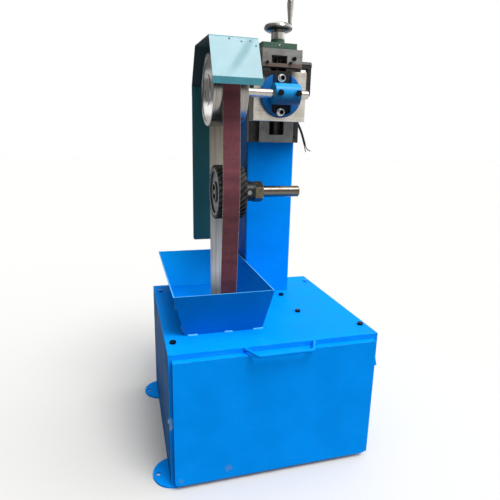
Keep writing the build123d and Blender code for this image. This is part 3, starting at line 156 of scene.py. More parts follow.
class GRINDER_PG_belt(PropertyGroup):
    """Sizes and colours of the abrasive belt."""

    thickness: length("Thickness", 1.5, "Cloth and grit together")
    coat: length("Grit coat", 0.6, "Height of the grit on the cloth")
    bare_edge: length("Bare edge", 0.9, "Cloth left bare along each edge of the grit")
    step: length("Step", 12.0, "Length of one mesh step along the straight runs")
    arc_steps: IntProperty(name="Arc steps", description="Mesh steps round a half turn", default=48, min=8)
    grit: swatch("Grit", "#683B41", "Brown-red aluminium oxide grit")
    grit_dark: swatch("Loaded grit", "#523035", "Grit darkened by use")
    cloth: swatch("Cloth", "#CEC8B8", "Polyester cloth of the belt's back")
    cloth_dark: swatch("Rubbed cloth", "#A69F91", "Cloth greyed by the wheels")
    fray: swatch("Frayed edge", "#C9BDB9", "Pale threads along the belt's edges")


class GRINDER_PG_cable(PropertyGroup):
    """Wire and colours of the cable stub."""

    wire: length("Wire", 1.6, "Diameter of the bare wire")
    jacket: swatch("Jacket", "#0E0E0F", "Black PVC jacket")
    insulation: swatch("Insulation", "#171413", "Dark PVC on the cores")


class GRINDER_PG_stage(PropertyGroup):
    """Camera, lights and floor."""

    camera: FloatVectorProperty(
        name="Camera", description="Where it stands",
        default=(-0.3894, -1.3278, 0.9406), subtype="TRANSLATION",
    )
    yaw: angle("Yaw", 15.96, "Turn to the right")
    pitch: angle("Pitch", 14.05, "Tilt downwards")
    roll: angle("Roll", 1.234, "Lean of the frame")
    lens: FloatProperty(name="Lens", description="Focal length", default=31.795, unit="CAMERA")
    key: FloatProperty(name="Key light", description="Strength of the main light", default=2.1, min=0)
    key_size: angle("Key size", 28, "Width of the main light in the sky")
    fill: FloatProperty(name="Fill", description="Strength of the light from all round", default=1.3, min=0)
    floor: swatch("Floor", "#CBCBCA", "Floor as the camera sees it")
    floor_bounce: swatch("Floor bounce", "#858280", "Floor as it lights the machine")


def feed(owner, socket, value):
    """Links an input to another node's output, or sets its value."""
    if isinstance(value, NodeSocket):
        owner.node_tree.links.new(value, socket)
    else:
        socket.default_value = value


def add(owner, kind, inputs=(), operation=None, **settings):
    """Adds one node to a material or world, feeds its inputs by name or in order, and returns its outputs."""
    node = owner.node_tree.nodes.new("ShaderNode" + kind)
    if operation:
        node.operation = operation
    for key, value in settings.items():
        setattr(node, key, value)
    for key, value in inputs.items() if isinstance(inputs, dict) else enumerate(inputs):
        feed(owner, node.inputs[key], value)
    return node.outputs


def start_look(name):
    """New material with a shader."""
    look = bpy.data.materials.new(name)
    look.use_nodes = True
    return look


def shader_of(look):
    """Shader of a material."""
    return look.node_tree.nodes["Principled BSDF"]


def set_shader(look, **inputs):
    """Sets or links the shader's inputs; words in a name are joined by underscores."""
    for key, value in inputs.items():
        name = key.replace("_", " ").title().replace("Ior", "IOR")
        feed(look, shader_of(look).inputs[name], value)
    return look


def end_look(look, colour, gloss, relief=None, normal=None, **constants):
    """Gives the shader its colour, roughness, relief and constants.

    A gloss is one roughness, or a pattern, the roughness at its low and high ends, and those ends where they
    aren't a noise's. A relief is a pattern, its strength and its depth."""
    if isinstance(gloss, tuple):
        pattern, low, high, *span = gloss
        gloss = add(look, "MapRange", (pattern, *(span or NOISE), low, high))[0]
    if relief:
        pattern, strength, depth = relief
        bump = {"Height": pattern, "Strength": strength, "Distance": depth}
        normal = add(look, "Bump", dict(bump, Normal=normal) if normal else bump)[0]
    return set_shader(look, base_color=colour, roughness=gloss, normal=normal, **constants)


def grain(look, size, detail, turn=(0, 0, 0)):
    """Noise as large as a size in metres, which is one number or one each along X, Y and Z."""
    scale = [1 / part for part in (size if isinstance(size, tuple) else (size,) * 3)]
    place = add(look, "TexCoord")["Object"]
    laid = add(look, "Mapping", {"Vector": place, "Rotation": turn, "Scale": scale})[0]
    return add(look, "TexNoise", {"Vector": laid, "Scale": 1.0, "Detail": detail})["Fac"]


def fade(owner, output, axis, span, values=(0, 1)):
    """Value that goes from one to another while one part of a place or a direction crosses a span."""
    part = add(owner, "SeparateXYZ", [add(owner, "TexCoord")[output]])[axis]
    return add(owner, "MapRange", (part, *span, *values))[0]


def near(look, place, point, reach, core=0.0):
    """Mask that is 1 within a core round a point and fades out at a reach from it."""
    away = add(look, "VectorMath", (place, point), "DISTANCE")["Value"]
    return add(look, "MapRange", (away, reach, core))[0]


def front_spots(look, marks):
    """Mask of round spots on a front face, each a place in X and Z, its reach and the radius of its core."""
    flat = add(look, "VectorMath", (add(look, "TexCoord")["Object"], (1, 0, 1)), "MULTIPLY")[0]
    mask = 0.0
    for x, z, reach, core in marks:
        mask = add(look, "Math", (near(look, flat, (x, 0, z), reach, core), mask), "MAXIMUM")[0]
    return mask


def turned_away(look, heart, across, reach, share=1.0):
    """Mask of the faces that point away from a heart line, or towards it where the reach is negative."""
    texture = add(look, "TexCoord")
    off = add(look, "VectorMath", (texture["Object"], heart), "SUBTRACT")[0]
    off = add(look, "VectorMath", (off, across), "MULTIPLY")[0]
    side = add(look, "VectorMath", (texture["Normal"], off), "DOT_PRODUCT")["Value"]
    return add(look, "MapRange", (side, 0.0, reach, 0.0, share))[0]


def worn_edges(look, radius):
    """Normals rounded over a piece's edges, and a mask that is 1 along them."""
    rounded = add(look, "Bevel", {"Radius": radius}, samples=4)[0]
    flat = add(look, "NewGeometry")["Normal"]
    facing = add(look, "VectorMath", (rounded, flat), "DOT_PRODUCT")["Value"]
    # Wear starts where the rounded normal leaves the flat one
    start, full = 0.99, 0.86
    return rounded, add(look, "MapRange", (facing, start, full))[0]


def tint(look, colour, pattern, tones, span=NOISE):
    """Colour that goes from one tone to another while a pattern crosses a span."""
    tone = add(look, "MapRange", (pattern, *span, *tones))[0]
    return add(look, "HueSaturation", {"Value": tone, "Color": colour})[0]


def stain(look, under, over, pattern, share=1.0, span=(0, 1)):
    """Colour with another one laid over it, up to a share, while a pattern crosses a span."""
    mask = add(look, "MapRange", (pattern, *span, 0.0, share))[0]
    return add(look, "Mix", {FACTOR: mask, FIRST: under, SECOND: over}, data_type="RGBA")[MIXED]


def overlay(look, mask, colour, roughness):
    """Lays another colour and roughness over a whole look where the mask is 1."""
    inputs = shader_of(look).inputs
    under, gloss = (inputs[name].links[0].from_socket for name in ("Base Color", "Roughness"))
    gloss = add(look, "MapRange", (mask, 0.0, 1.0, gloss, roughness))[0]
    return set_shader(look, base_color=stain(look, under, colour, mask), roughness=gloss)


def dress(look, *nodes):
    """Gives CAD nodes a material."""
    for name in nodes:
        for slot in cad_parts[name].material_slots:
            slot.material = look


def sprayed_enamel(name, colour, worn, roughness=0.5, shine=0.02, scuffs=(), scuff_colour=None, dust_and_shade=False):
    """Air-dried enamel sprayed on steel sheet: faint orange peel, uneven sheen and chalky edges.

    A scuff is a point, its reach and how strong it is. Grey dust and painted shade can darken a piece's left
    side."""
    look = start_look(name)
    normal, edge = worn_edges(look, 1.5 * MM)
    # Spray passes overlap about a hand's breadth apart, which shifts the tone a little
    passes = grain(look, 110 * MM, 4.0)
    paint = tint(look, colour, passes, (0.93, 1.06), (0.32, 0.68))
    chips = grain(look, 14 * MM, 5.0)
    ragged = add(look, "MapRange", (chips, 0.42, 0.62, 0.0, edge))[0]
    paint = stain(look, paint, worn, ragged, 0.75)
    # Hairline scratches in two directions, about 0.3 mm wide and drawn at 1.1 mm so that they show
    scratch = (1 / 13, 1 / 900, 1 / 900)
    handled = add(look, "MapRange", (passes, 0.42, 0.6, 0.0, 0.4))[0]
    for turn in ((0.2, 0.3, 0.5), (0.4, -0.3, -1.1)):
        paint = stain(look, paint, worn, grain(look, scratch, 1.0, turn), handled, (0.71, 0.79))
    place = add(look, "TexCoord")["Object"]
    for point, reach, strength in scuffs:
        spot = near(look, place, point, reach)
        rubbed = add(look, "Math", (spot, chips), "MULTIPLY")[0]
        paint = stain(look, paint, scuff_colour, rubbed, strength, (0.22, 0.40))
    # Grey dust and painted shade darken the faces that look left
    if dust_and_shade:
        film = add(look, "MapRange", (chips, *NOISE, 0.75, 1.25))[0]
        side = fade(look, "Normal", "X", (-0.5, -0.9), (0, 0.55))
        paint = stain(look, paint, linear("#35434F"), side, film)
    # Orange peel is about 1.5 mm across; it is drawn at 5 mm so that it shows at all
    peel = grain(look, 5 * MM, 1.0)
    return end_look(
        look, paint, (passes, roughness - 0.08, roughness + 0.1), (peel, 0.25, 0.3 * MM), normal,
        specular_ior_level=shine,
    )


def hood_enamel(paint):
    """Gloss enamel on the bent guard: sea green and glossy outside with a wiped streak, dark inside."""
    look = start_look("hood_gloss_enamel")
    normal, edge = worn_edges(look, 0.8 * MM)
    place = add(look, "TexCoord")["Object"]
    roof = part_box("guard_hood")[1].z
    heart = middle("idler_wheel")
    outside = turned_away(look, heart, (0, 1, 1), 5 * MM)
    # One wiped streak runs down the front slope at a slant, with soft ragged sides
    drift = grain(look, 45 * MM, 3.0)
    top, bottom = Vector((-0.066, 0, 1.176)), Vector((-0.115, 0, 1.105))
    across = (bottom - top).cross(Vector((0, 1, 0))).normalized()
    off = add(look, "VectorMath", (place, top), "SUBTRACT")[0]
    off = add(look, "VectorMath", (off, across), "DOT_PRODUCT")["Value"]
    half_width, swing = 19 * MM, 6 * MM
    sway = add(look, "MapRange", (drift, 0.0, 1.0, -swing, swing))[0]
    off = add(look, "Math", (off, sway), "ADD")[0]
    off = add(look, "Math", [off], "ABSOLUTE")[0]
    streak = add(look, "MapRange", (off, half_width, 0.0), interpolation_type="SMOOTHERSTEP")[0]
    front, upper_end, lower_end = (heart.y, heart.y - HAIR), (roof, roof - 25 * MM), (1.09, 1.13)
    for axis, span in (("Y", front), ("Z", upper_end), ("Z", lower_end)):
        streak = fade(look, "Object", axis, span, (0, streak))
    # A few chips, 3 to 4 mm across, lie near the fold at the top
    chips = (-0.1126, 1.1922, 4.6), (-0.0802, 1.1870, 4.1), (-0.0565, 1.1895, 4.1), (-0.0420, 1.1777, 4.1)
    chip = front_spots(look, [(x, z, reach * MM, 0.0) for x, z, reach in chips])
    chip = fade(look, "Object", "Y", front, (0, chip))
    green = tint(look, paint.hood, drift, (0.9, 1.1))
    green = stain(look, green, linear("#A9D3DA"), edge, 0.5)
    green = stain(look, green, linear("#1E3136"), chip)
    dull = add(look, "MapRange", (streak, 0.0, 1.0, 0.24, 0.37))[0]
    dull = add(look, "Math", (dull, chip), "MAXIMUM")[0]
    return end_look(
        look, stain(look, paint.hood_inside, green, outside), (outside, 0.7, dull, 0.0, 1.0),
        (drift, 0.12, 1.0 * MM), normal, specular_ior_level=0.5,
    )


def hammer_paint(name, colour, size, shine=0.4):
    """Hammer paint: a skin of shallow dimples with darker rims."""
    look = start_look(name)
    normal, edge = worn_edges(look, 1.2 * MM)
    place = add(look, "TexCoord")["Object"]
    dimples = add(look, "TexVoronoi", {"Vector": place, "Scale": 1 / size}, feature="SMOOTH_F1")["Distance"]
    paint = tint(look, colour, dimples, (1.15, 0.75), (0.0, 0.7))
    paint = stain(look, paint, linear("#8FA097"), edge, 0.35)
    return end_look(look, paint, 0.38, (dimples, 0.35, 0.5 * MM), normal, specular_ior_level=shine)


def cut_metal(name, colour, oil_colour, marks, roughness, metallic=1.0):
    """Planed, milled or ground metal: lines along the cut, oily stains and bright edges.

    The marks give the lines' size along X, Y and Z."""
    look = start_look(name)
    normal, edge = worn_edges(look, 1.0 * MM)
    lines, oil_and_shade = grain(look, marks, 3.0), grain(look, 40 * MM, 5.0)
    metal = tint(look, colour, lines, (0.82, 1.12))
    metal = stain(look, metal, oil_colour, oil_and_shade, 0.5, (0.42, 0.68))
    metal = stain(look, metal, paler(colour, 1.35), edge, 0.6)
    gloss = oil_and_shade, roughness - 0.1, roughness + 0.1
    return end_look(look, metal, gloss, (lines, 0.2, 0.15 * MM), normal, metallic=metallic)


def turned_metal(name, colour, centre, axis, roughness, line=2.5 * MM, depth=0.08 * MM, dark=0.78):
    """Lathe-turned metal: rings about its axis that vary in tone and gloss, and a drawn-out highlight."""
    look = start_look(name)
    normal = worn_edges(look, 0.8 * MM)[0]
    place = add(look, "TexCoord")["Object"]
    own = add(look, "VectorMath", (place, centre), "SUBTRACT")[0]
    across = [float(letter != axis) for letter in "XYZ"]
    radial = add(look, "VectorMath", (own, across), "MULTIPLY")[0]
    radius = add(look, "VectorMath", [radial], "LENGTH")["Value"]
    along = add(look, "SeparateXYZ", [own])[axis]
    cut = add(look, "Math", (radius, along), "ADD")[0]
    # Tool marks are a fraction of a millimetre apart; the rings are drawn wider so that they show
    ring = {"W": cut, "Scale": 1 / line, "Detail": 4.0, "Roughness": 0.7}
    rings = add(look, "TexNoise", ring, noise_dimensions="1D")["Fac"]
    metal = tint(look, colour, rings, (dark, 1.1))
    metal = stain(look, metal, linear("#7A766F"), grain(look, 25 * MM, 4.0), 0.25, (0.45, 0.75))
    tangent = add(look, "Tangent", direction_type="RADIAL", axis=axis)[0]
    return end_look(
        look, metal, (rings, roughness + 0.08, roughness - 0.05), (rings, 0.5, depth), normal,
        metallic=1.0, anisotropic=0.6, tangent=tangent,
    )


def plated_metal(name, colour, roughness, spots=linear("#6B6A66"), spot_share=0.3):
    """Plated or blackened steel: an even skin with cloudy spots and rubbed edges."""
    look = start_look(name)
    normal, edge = worn_edges(look, 0.7 * MM)
    cloud = grain(look, 9 * MM, 5.0)
    skin = stain(look, colour, spots, cloud, spot_share, (0.5, 0.75))
    skin = stain(look, skin, paler(colour, 1.8), edge, 0.5)
    gloss = cloud, roughness - 0.06, roughness + 0.1
    return end_look(look, skin, gloss, normal=normal, metallic=1.0)


def moulded(name, colour, roughness, dust=0.25, pore=1.5 * MM):
    """Moulded rubber or plastic: a fine matt grain with grey dust in it."""
    look = start_look(name)
    normal, edge = worn_edges(look, 0.6 * MM)
    settled = grain(look, 18 * MM, 5.0)
    skin = stain(look, colour, linear("#7B7773"), settled, dust, (0.45, 0.72))
    skin = stain(look, skin, paler(colour, 1.6), edge, 0.4)
    return end_look(
        look, skin, (settled, roughness - 0.05, roughness + 0.12, 0.0, 1.0),
        (grain(look, pore, 2.0), 0.4, 0.1 * MM), normal, specular_ior_level=0.4,
    )


def grit_coat(belt):
    """Aluminium oxide grit in resin: sharp matt grain, rubbed darker in bands across the belt."""
    look = start_look("grit_coat")
    place = add(look, "TexCoord")["Object"]
    # P60 grit is about 0.3 mm; it is drawn at 1.6 mm so that it shows
    grains = add(look, "TexVoronoi", {"Vector": place, "Scale": 1 / (1.6 * MM)})["Distance"]
    coarse = grain(look, 5 * MM, 4.0)
    bands = grain(look, (1 / 6, 1, 1 / 22), 3.0)
    red = stain(look, belt.grit, belt.grit_dark, bands, 1.0, (0.38, 0.68))
    red = tint(look, red, coarse, (0.82, 1.18))
    # Painted light: the grit above the contact wheel is painted paler, where the run leans up towards the
    # light
    bend = middle("contact_tyre").z
    painted_light_above = fade(look, "Object", "Z", (bend, bend + 20 * MM), (1.0, 1.35))
    red = add(look, "HueSaturation", {"Value": painted_light_above, "Color": red})[0]
    gloss = coarse, 0.7, 0.95, 0.0, 1.0
    return end_look(look, red, gloss, (grains, 0.6, 0.3 * MM), specular_ior_level=0.15)


def belt_cloth(belt):
    """Woven polyester backing: plain weave, greyed in streaks by the wheels, with one slanted splice."""
    look = start_look("belt_cloth")
    place = add(look, "TexCoord")["Object"]
    # The weave is 0.5 mm; it is drawn at 2 mm so that it shows. A wave's scale is 0.314 for a length of 1
    thread = {"Vector": place, "Scale": 0.314 / (2 * MM), "Distortion": 0.4, "Detail": 1.0}
    warp, weft = (add(look, "TexWave", thread, bands_direction=way)["Fac"] for way in "XZ")
    weave = add(look, "Math", (warp, weft), "MULTIPLY")[0]
    rub = grain(look, (1 / 120, 1, 1 / 5), 4.0)
    cloth = stain(look, belt.cloth, belt.cloth_dark, rub, 0.8, (0.4, 0.7))
    # The splice is a slanted tape on the rear run
    slant, height, half_width, soft = Vector((0.5, 0.0, 0.866)), 0.705, 9 * MM, 0.5 * MM
    slope = add(look, "VectorMath", (place, slant), "DOT_PRODUCT")["Value"]
    splice_line = slant.x * middle("belt").x + slant.z * height
    off = add(look, "Math", (slope, splice_line), "SUBTRACT")[0]
    off = add(look, "Math", [off], "ABSOLUTE")[0]
    cloth = stain(look, cloth, linear("#C4C1B8"), off, 0.35, (half_width + soft, half_width - soft))
    cloth = tint(look, cloth, weave, (0.9, 1.05), (0.0, 1.0))
    # Painted shade darkens its lower end inside the hopper, and painted light makes its lower length paler
    # than its upper length
    for heights, tones in (((0.44, 0.51), (0.35, 1.0)), ((0.85, 0.68), (1.0, 1.3))):
        tone = fade(look, "Object", "Z", heights, tones)
        cloth = add(look, "HueSaturation", {"Value": tone, "Color": cloth})[0]
    gloss = rub, 0.75, 0.95, 0.0, 1.0
    return end_look(look, cloth, gloss, (weave, 0.4, 0.25 * MM), specular_ior_level=0.2)


def frayed_cloth(belt):
    """Cut edge of the cloth: short pale threads, uneven along the belt."""
    look = start_look("frayed_cloth")
    fuzz = grain(look, 3 * MM, 3.0)
    thread = stain(look, belt.fray, linear("#8E7C7B"), fuzz, 1.0, (0.35, 0.65))
    return end_look(look, thread, 0.9, (fuzz, 0.6, 0.4 * MM), specular_ior_level=0.1)


def dial_steel(metal):
    """Satin dial collar: 80 fine engraved lines, each fifth one longer."""
    centre = middle("dial_collar")
    look = turned_metal("dial_satin_steel", metal.chrome, centre, "Z", 0.14, depth=0.02 * MM)
    place = add(look, "TexCoord")["Object"]
    own = add(look, "VectorMath", (place, centre), "SUBTRACT")[0]
    parts = add(look, "SeparateXYZ", [own])
    turn = add(look, "Math", (parts["Y"], parts["X"]), "ARCTAN2")[0]
    ink = 0.0
    for count, low, width in ((80, 4 * MM, 0.10), (16, 0.0, 0.03)):
        share = add(look, "Math", (turn, count / math.tau), "MULTIPLY")[0]
        share = add(look, "Math", [share], "FRACT")[0]
        line = add(look, "Math", (share, width), "LESS_THAN")[0]
        below = add(look, "Math", (parts["Z"], -low), "LESS_THAN")[0]
        line = add(look, "Math", (line, below), "MULTIPLY")[0]
        ink = add(look, "Math", (line, ink), "MAXIMUM")[0]
    return overlay(look, ink, linear("#26241F"), 0.6)


def idler_aluminium(metal):
    """Turned aluminium of the top wheel, with its flat faces polished like a mirror."""
    look = turned_metal(
        "idler_turned_aluminium", metal.aluminium, middle("idler_wheel"), "X", 0.22, 7 * MM, 0.02 * MM, 0.5
    )
    for side in (-1, 1):
        overlay(look, fade(look, "Normal", "X", (0.8 * side, 0.95 * side)), linear("#E6E3DE"), 0.1)
    return look


def nut_zinc(metal):
    """Axle fixings: the big nut is yellow passivated, and the small screws and washer are bright zinc."""
    look = plated_metal("nut_yellow_zinc", metal.zinc_yellow, 0.3, linear("#3F3628"), 0.7)
    nut_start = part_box("axle_fixings")[1].x - 27 * MM
    return overlay(look, fade(look, "Object", "X", (nut_start, nut_start - HAIR)), linear("#8F9192"), 0.3)


def hopper_enamel(paint):
    """Enamel of the hopper: painted shade deepens it outside, painted light makes it pale inside, and its
    upward faces are paler.
    """
    look = sprayed_enamel("hopper_sprayed_enamel", paint.blue_hopper, paint.blue_worn)
    # Faces that look up, such as the rim's top, are paler
    overlay(look, fade(look, "Normal", "Z", (0.5, 0.8), (0, 0.9)), paint.blue_worn, 0.5)
    # Painted shade: the right wall inside, which faces away from the light, keeps more of the deep outside
    # blue
    rubbed = fade(look, "Normal", "X", (-0.6, 0.0), (0.4, 1.0))
    inside = turned_away(look, middle("hopper"), (1, 1, 0), -5 * MM, rubbed)
    # Painted light: the inside is painted a paler blue
    return overlay(look, inside, linear("#06B4FF"), 0.55)


def clamp_enamel(paint):
    """Gloss enamel of the clamp: bright barrel, with painted shade on its flange, on its milled seats and on
    faces that look down.
    """
    look = sprayed_enamel("clamp_gloss_enamel", paint.blue_clamp, paint.blue_worn, 0.32, 0.2)
    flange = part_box("clamp_block")[1].y - 16 * MM
    border, seat_floor = flange - 3 * MM, flange + 4 * MM
    # Painted shade: the flange behind the barrel is painted a deeper blue
    overlay(look, fade(look, "Object", "Y", (border, border + HAIR)), paint.blue_flange, 0.4)
    # Painted shade: faces that look down are darkened
    overlay(look, fade(look, "Normal", "Z", (0.1, -0.6), (0, 0.75)), linear("#06264C"), 0.5)
    # Painted shade: the seat floors round the screws are painted dark where the head block and barrel cast
    # shadow
    front = fade(look, "Normal", "Y", (-0.7, -0.701))
    seat_shade = fade(look, "Object", "Y", (seat_floor, seat_floor + HAIR), (0, front))
    bare = stain(look, linear("#0C1420"), linear("#2A333D"), grain(look, 12 * MM, 4.0))
    return overlay(look, seat_shade, bare, 0.75)


def clamp_screw_zinc():
    """Bright zinc cap screws and washers of the clamp, with old dirt in the screws' sockets."""
    look = plated_metal("clamp_screw_zinc", linear("#F2F2F0"), 0.34, linear("#8E8E88"), 0.2)
    low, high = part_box("clamp_screws")
    half = (high.x - low.x) / 2
    heights = low.z + half, high.z - half
    dirt = front_spots(look, [(low.x + half, height, 7.6 * MM, 7.0 * MM) for height in heights])
    return overlay(look, dirt, linear("#15161A"), 0.6)


def slide_iron(metal):
    """Planed iron of the slide base: bright on the dovetail, with painted shade on the flanges behind it."""
    planed = 2 * MM, 2 * MM, 60 * MM
    look = cut_metal("planed_cast_iron", metal.iron, linear("#4E4A46"), planed, 0.45, 0.85)
    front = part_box("slide_base")[0].y
    # Painted shade: faces deeper than the dovetail's front are darkened
    behind = fade(look, "Object", "Y", (front + 2 * MM, front + 21 * MM), (0, 0.85))
    return overlay(look, behind, linear("#2E2C2B"), 0.5)


def saddle_iron(metal):
    """Ground iron of the saddle, with painted shade on its upper left corner and its left side."""
    ground = 40 * MM, 3 * MM, 2 * MM
    look = cut_metal("ground_saddle_iron", metal.saddle, linear("#9A8C72"), ground, 0.36, 0.9)
    low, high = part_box("saddle")
    height = add(look, "SeparateXYZ", [add(look, "TexCoord")["Object"]])["Z"]
    run = grain(look, 16 * MM, 3.0)
    edge = add(look, "Math", (run, -24 * MM, height), "MULTIPLY_ADD")[0]
    # Painted shade runs down from the saddle's top on its left, below the head block
    left = fade(look, "Object", "X", (low.x + 150 * MM, low.x + 120 * MM), (0, 0.97))
    start, end = high.z - 48 * MM, high.z - 32 * MM
    oil_and_shade = add(look, "MapRange", (edge, start, end, 0.0, left))[0]
    # Painted shade on the faces that look left
    flank_shade = fade(look, "Normal", "X", (-0.5, -0.9), (0, 0.7))
    oil_and_shade = add(look, "Math", (oil_and_shade, flank_shade), "MAXIMUM")[0]
    return overlay(look, oil_and_shade, linear("#2A2522"), 0.45)


def head_steel(metal):
    """Milled steel of the head block, browner and darker along its lower edge."""
    milled = 50 * MM, 3 * MM, 2.5 * MM
    look = cut_metal("milled_head_steel", metal.head, linear("#5A4C40"), milled, 0.42, 0.85)
    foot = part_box("head_block")[0].z
    # The lower edge is browner and darker
    oil_and_shade = fade(look, "Object", "Z", (foot + 15 * MM, foot + 9 * MM), (0, 0.75))
    return overlay(look, oil_and_shade, linear("#6A5446"), 0.5)


def wheel_chrome(metal):
    """Polished chrome of the handwheel, with a painted dark reflection and painted shade on faces that look
    down.
    """
    look = plated_metal("polished_chrome", metal.chrome, 0.12, linear("#A79F92"), 0.25)
    # Painted reflection and shade: faces that look down are darkened
    return overlay(look, fade(look, "Normal", "Z", (0.18, -0.1), (0, 0.93)), linear("#1C1E26"), 0.3)


def plate_bolt_oxide(metal, paint):
    """Black bolts of the top plate; the rear pair was painted over with the plate."""
    look = plated_metal("plate_bolt_oxide", metal.oxide, 0.42, linear("#3B3530"), 0.5)
    border = middle("top_plate_bolts").y
    set_shader(look, metallic=fade(look, "Object", "Y", (border + HAIR, border)))
    return overlay(look, fade(look, "Object", "Y", (border, border + HAIR)), paint.blue, 0.5)


def in_scene(name, data):
    """Scene object of a mesh, curve, camera or light."""
    made = bpy.data.objects.new(name, data)
    bpy.context.scene.collection.objects.link(made)
    return made


def object_from(bm, name, *materials):
    """Scene object of a finished bmesh, in the part's own frame."""
    mesh = bpy.data.meshes.new(name)
    bm.to_mesh(mesh)
    bm.free()
    for material in materials:
        mesh.materials.append(material)
    return in_scene(name, mesh)


def belt_course(lift):
    """Wheels in the belt's order as (y, z, radius), and the angle at which the belt leaves each of them."""
    wheels = []
    for node in ("idler_wheel", "contact_tyre", "drive_wheel"):
        low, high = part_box(node)
        wheels.append(((low.y + high.y) / 2, (low.z + high.z) / 2, (high.z - low.z) / 2 + lift))
    leaves = []
    for here, there in zip(wheels, wheels[1:] + wheels[:1]):
        dy, dz = there[0] - here[0], there[1] - here[1]
        lean = math.asin((here[2] - there[2]) / math.hypot(dy, dz))
        leaves.append(math.atan2(dz, dy) - math.pi / 2 + lean)
    return wheels, leaves


def grow(bm, edges):
    """Extrudes edges: the new points, the new edges between them, and the new faces."""
    grown = bmesh.ops.extrude_edge_only(bm, edges=edges)["geom"]
    points = [part for part in grown if isinstance(part, bmesh.types.BMVert)]
    front = [
        part for part in grown
        if isinstance(part, bmesh.types.BMEdge) and all(vert in points for vert in part.verts)
    ]
    return points, front, [part for part in grown if isinstance(part, bmesh.types.BMFace)]


def wind_band(bm, belt, low, high, half_width, lift, slots):
    """Winds one layer of the belt round the wheels, from its low to its high side above them.

    The slots give the materials of its inner, right, outer and left faces."""
    x = middle("belt").x
    wheels, leaves = belt_course(lift)
    enters = leaves[-1:] + leaves[:-1]
    y, z, radius = wheels[0]
    spread = Vector((0, math.cos(enters[0]), math.sin(enters[0])))
    corners = [
        bm.verts.new(Vector((x + side * half_width, y, z)) + spread * (radius + height))
        for side, height in ((-1, low), (1, low), (1, high), (-1, high))
    ]
    edges = [bm.edges.new(pair) for pair in zip(corners, corners[1:] + corners[:1])]
    marks = dict(zip(edges, slots))
    for (y, z, radius), end, enter, out in zip(wheels, wheels[1:] + wheels[:1], enters, leaves):
        turn = (out - enter) % math.tau
        steps = max(2, round(belt.arc_steps * turn / math.pi))
        spread = Vector((0, math.cos(out), math.sin(out)))
        run = Vector((0, end[0], end[1])) + spread * end[2] - Vector((0, y, z)) - spread * radius
        pulls = max(2, round(run.length / belt.step))
        for step in range(steps + pulls):
            points, edges, faces = grow(bm, edges)
            for face in faces:
                face.material_index = next(marks[edge] for edge in face.edges if edge in marks)
            marks = {edge: edge.link_faces[0].material_index for edge in edges}
            if step < steps:
                part_turn = Matrix.Rotation(turn / steps, 3, "X")
                bmesh.ops.rotate(bm, cent=(0, y, z), matrix=part_turn, verts=points)
            else:
                bmesh.ops.translate(bm, vec=run / pulls, verts=points)
    # The last ring lies on the first one
    bmesh.ops.remove_doubles(bm, verts=bm.verts, dist=0.05 * MM)


def cut_between(source, low, high):
    """Copy of a bmesh between two heights, with its cut ends closed."""
    bm = source.copy()
    for height, keep_above in ((low, True), (high, False)):
        if height is None:
            continue
        bmesh.ops.bisect_plane(
            bm, geom=[*bm.verts, *bm.edges, *bm.faces], plane_co=(0, 0, height), plane_no=(0, 0, 1),
            clear_inner=keep_above, clear_outer=not keep_above,
        )
    bmesh.ops.holes_fill(bm, edges=[edge for edge in bm.edges if edge.is_boundary], sides=4)
    bmesh.ops.recalc_face_normals(bm, faces=bm.faces)
    return bm


def foot_lines(low, high, z, across, along):
    """Lines on the four sides of a foot, each between two shares of its side."""
    size = high - low
    lines = []
    for start, end in across:
        left, right = low.x + start * size.x, low.x + end * size.x
        lines += [((left, y, z), (right, y, z)) for y in (low.y, high.y)]
    for start, end in along:
        front, rear = low.y + start * size.y, low.y + end * size.y
        lines += [((x, front, z), (x, rear, z)) for x in (low.x, high.x)]
    return lines


def lay_bead(bm, start, end, radius, luck):
    """Lays one rippled weld bead along a line."""
    along = Vector(end) - Vector(start)
    # A step's length, and the bead's ripple, its scatter and its wander as shares of its radius
    stride, ripple, scatter, wander = 2.2 * MM, 0.16, 0.1, 0.12
    start_share, end_share = 0.45, 0.5
    steps = max(4, round(along.length / stride))
    turned = along.to_track_quat("Z", "Y").to_matrix().to_4x4()
    ring = bmesh.ops.create_circle(
        bm, segments=10, radius=radius * start_share, matrix=Matrix.Translation(start) @ turned
    )["verts"]
    bm.faces.new(ring[::-1])
    edges = list(dict.fromkeys(edge for vert in ring for edge in vert.link_edges))
    for step in range(1, steps + 1):
        points, edges, _ = grow(bm, edges)
        here = sum((vert.co for vert in points), Vector()) / len(points)
        now = (points[0].co - here).length
        share = 1.0 + ripple * math.cos(step * math.tau / 3) + luck.uniform(-scatter, scatter)
        wanted = radius * (end_share if step == steps else share)
        bmesh.ops.scale(bm, vec=[wanted / now] * 3, space=Matrix.Translation(-here), verts=points)
        drift = Vector([luck.uniform(-1, 1) for _ in "XYZ"]) * wander * radius
        bmesh.ops.translate(bm, vec=along / steps + drift * (step < steps), verts=points)
    bmesh.ops.contextual_create(bm, geom=edges)


def cable_curve(name, points, diameter, material):
    """Smooth round cord along a route of control points."""
    curve = bpy.data.curves.new(name, "CURVE")
    curve.dimensions = "3D"
    curve.bevel_depth = diameter / 2
    curve.bevel_resolution = 6
    curve.use_fill_caps = True
    curve.resolution_u = 16
    line = curve.splines.new("NURBS")
    line.points.add(len(points) - 1)
    for point, place in zip(line.points, points):
        point.co = (*place, 1.0)
    line.order_u = 3
    line.use_endpoint_u = True
    curve.materials.append(material)
    return in_scene(name, curve)


def seen_rays(owner):
    """Mask of the rays that show a thing itself: to the camera, in metal and through glass."""
    rays = add(owner, "LightPath")
    seen = rays["Is Camera Ray"]
    for kind in ("Is Glossy Ray", "Is Transmission Ray"):
        seen = add(owner, "Math", (seen, rays[kind]), "MAXIMUM")[0]
    return seen


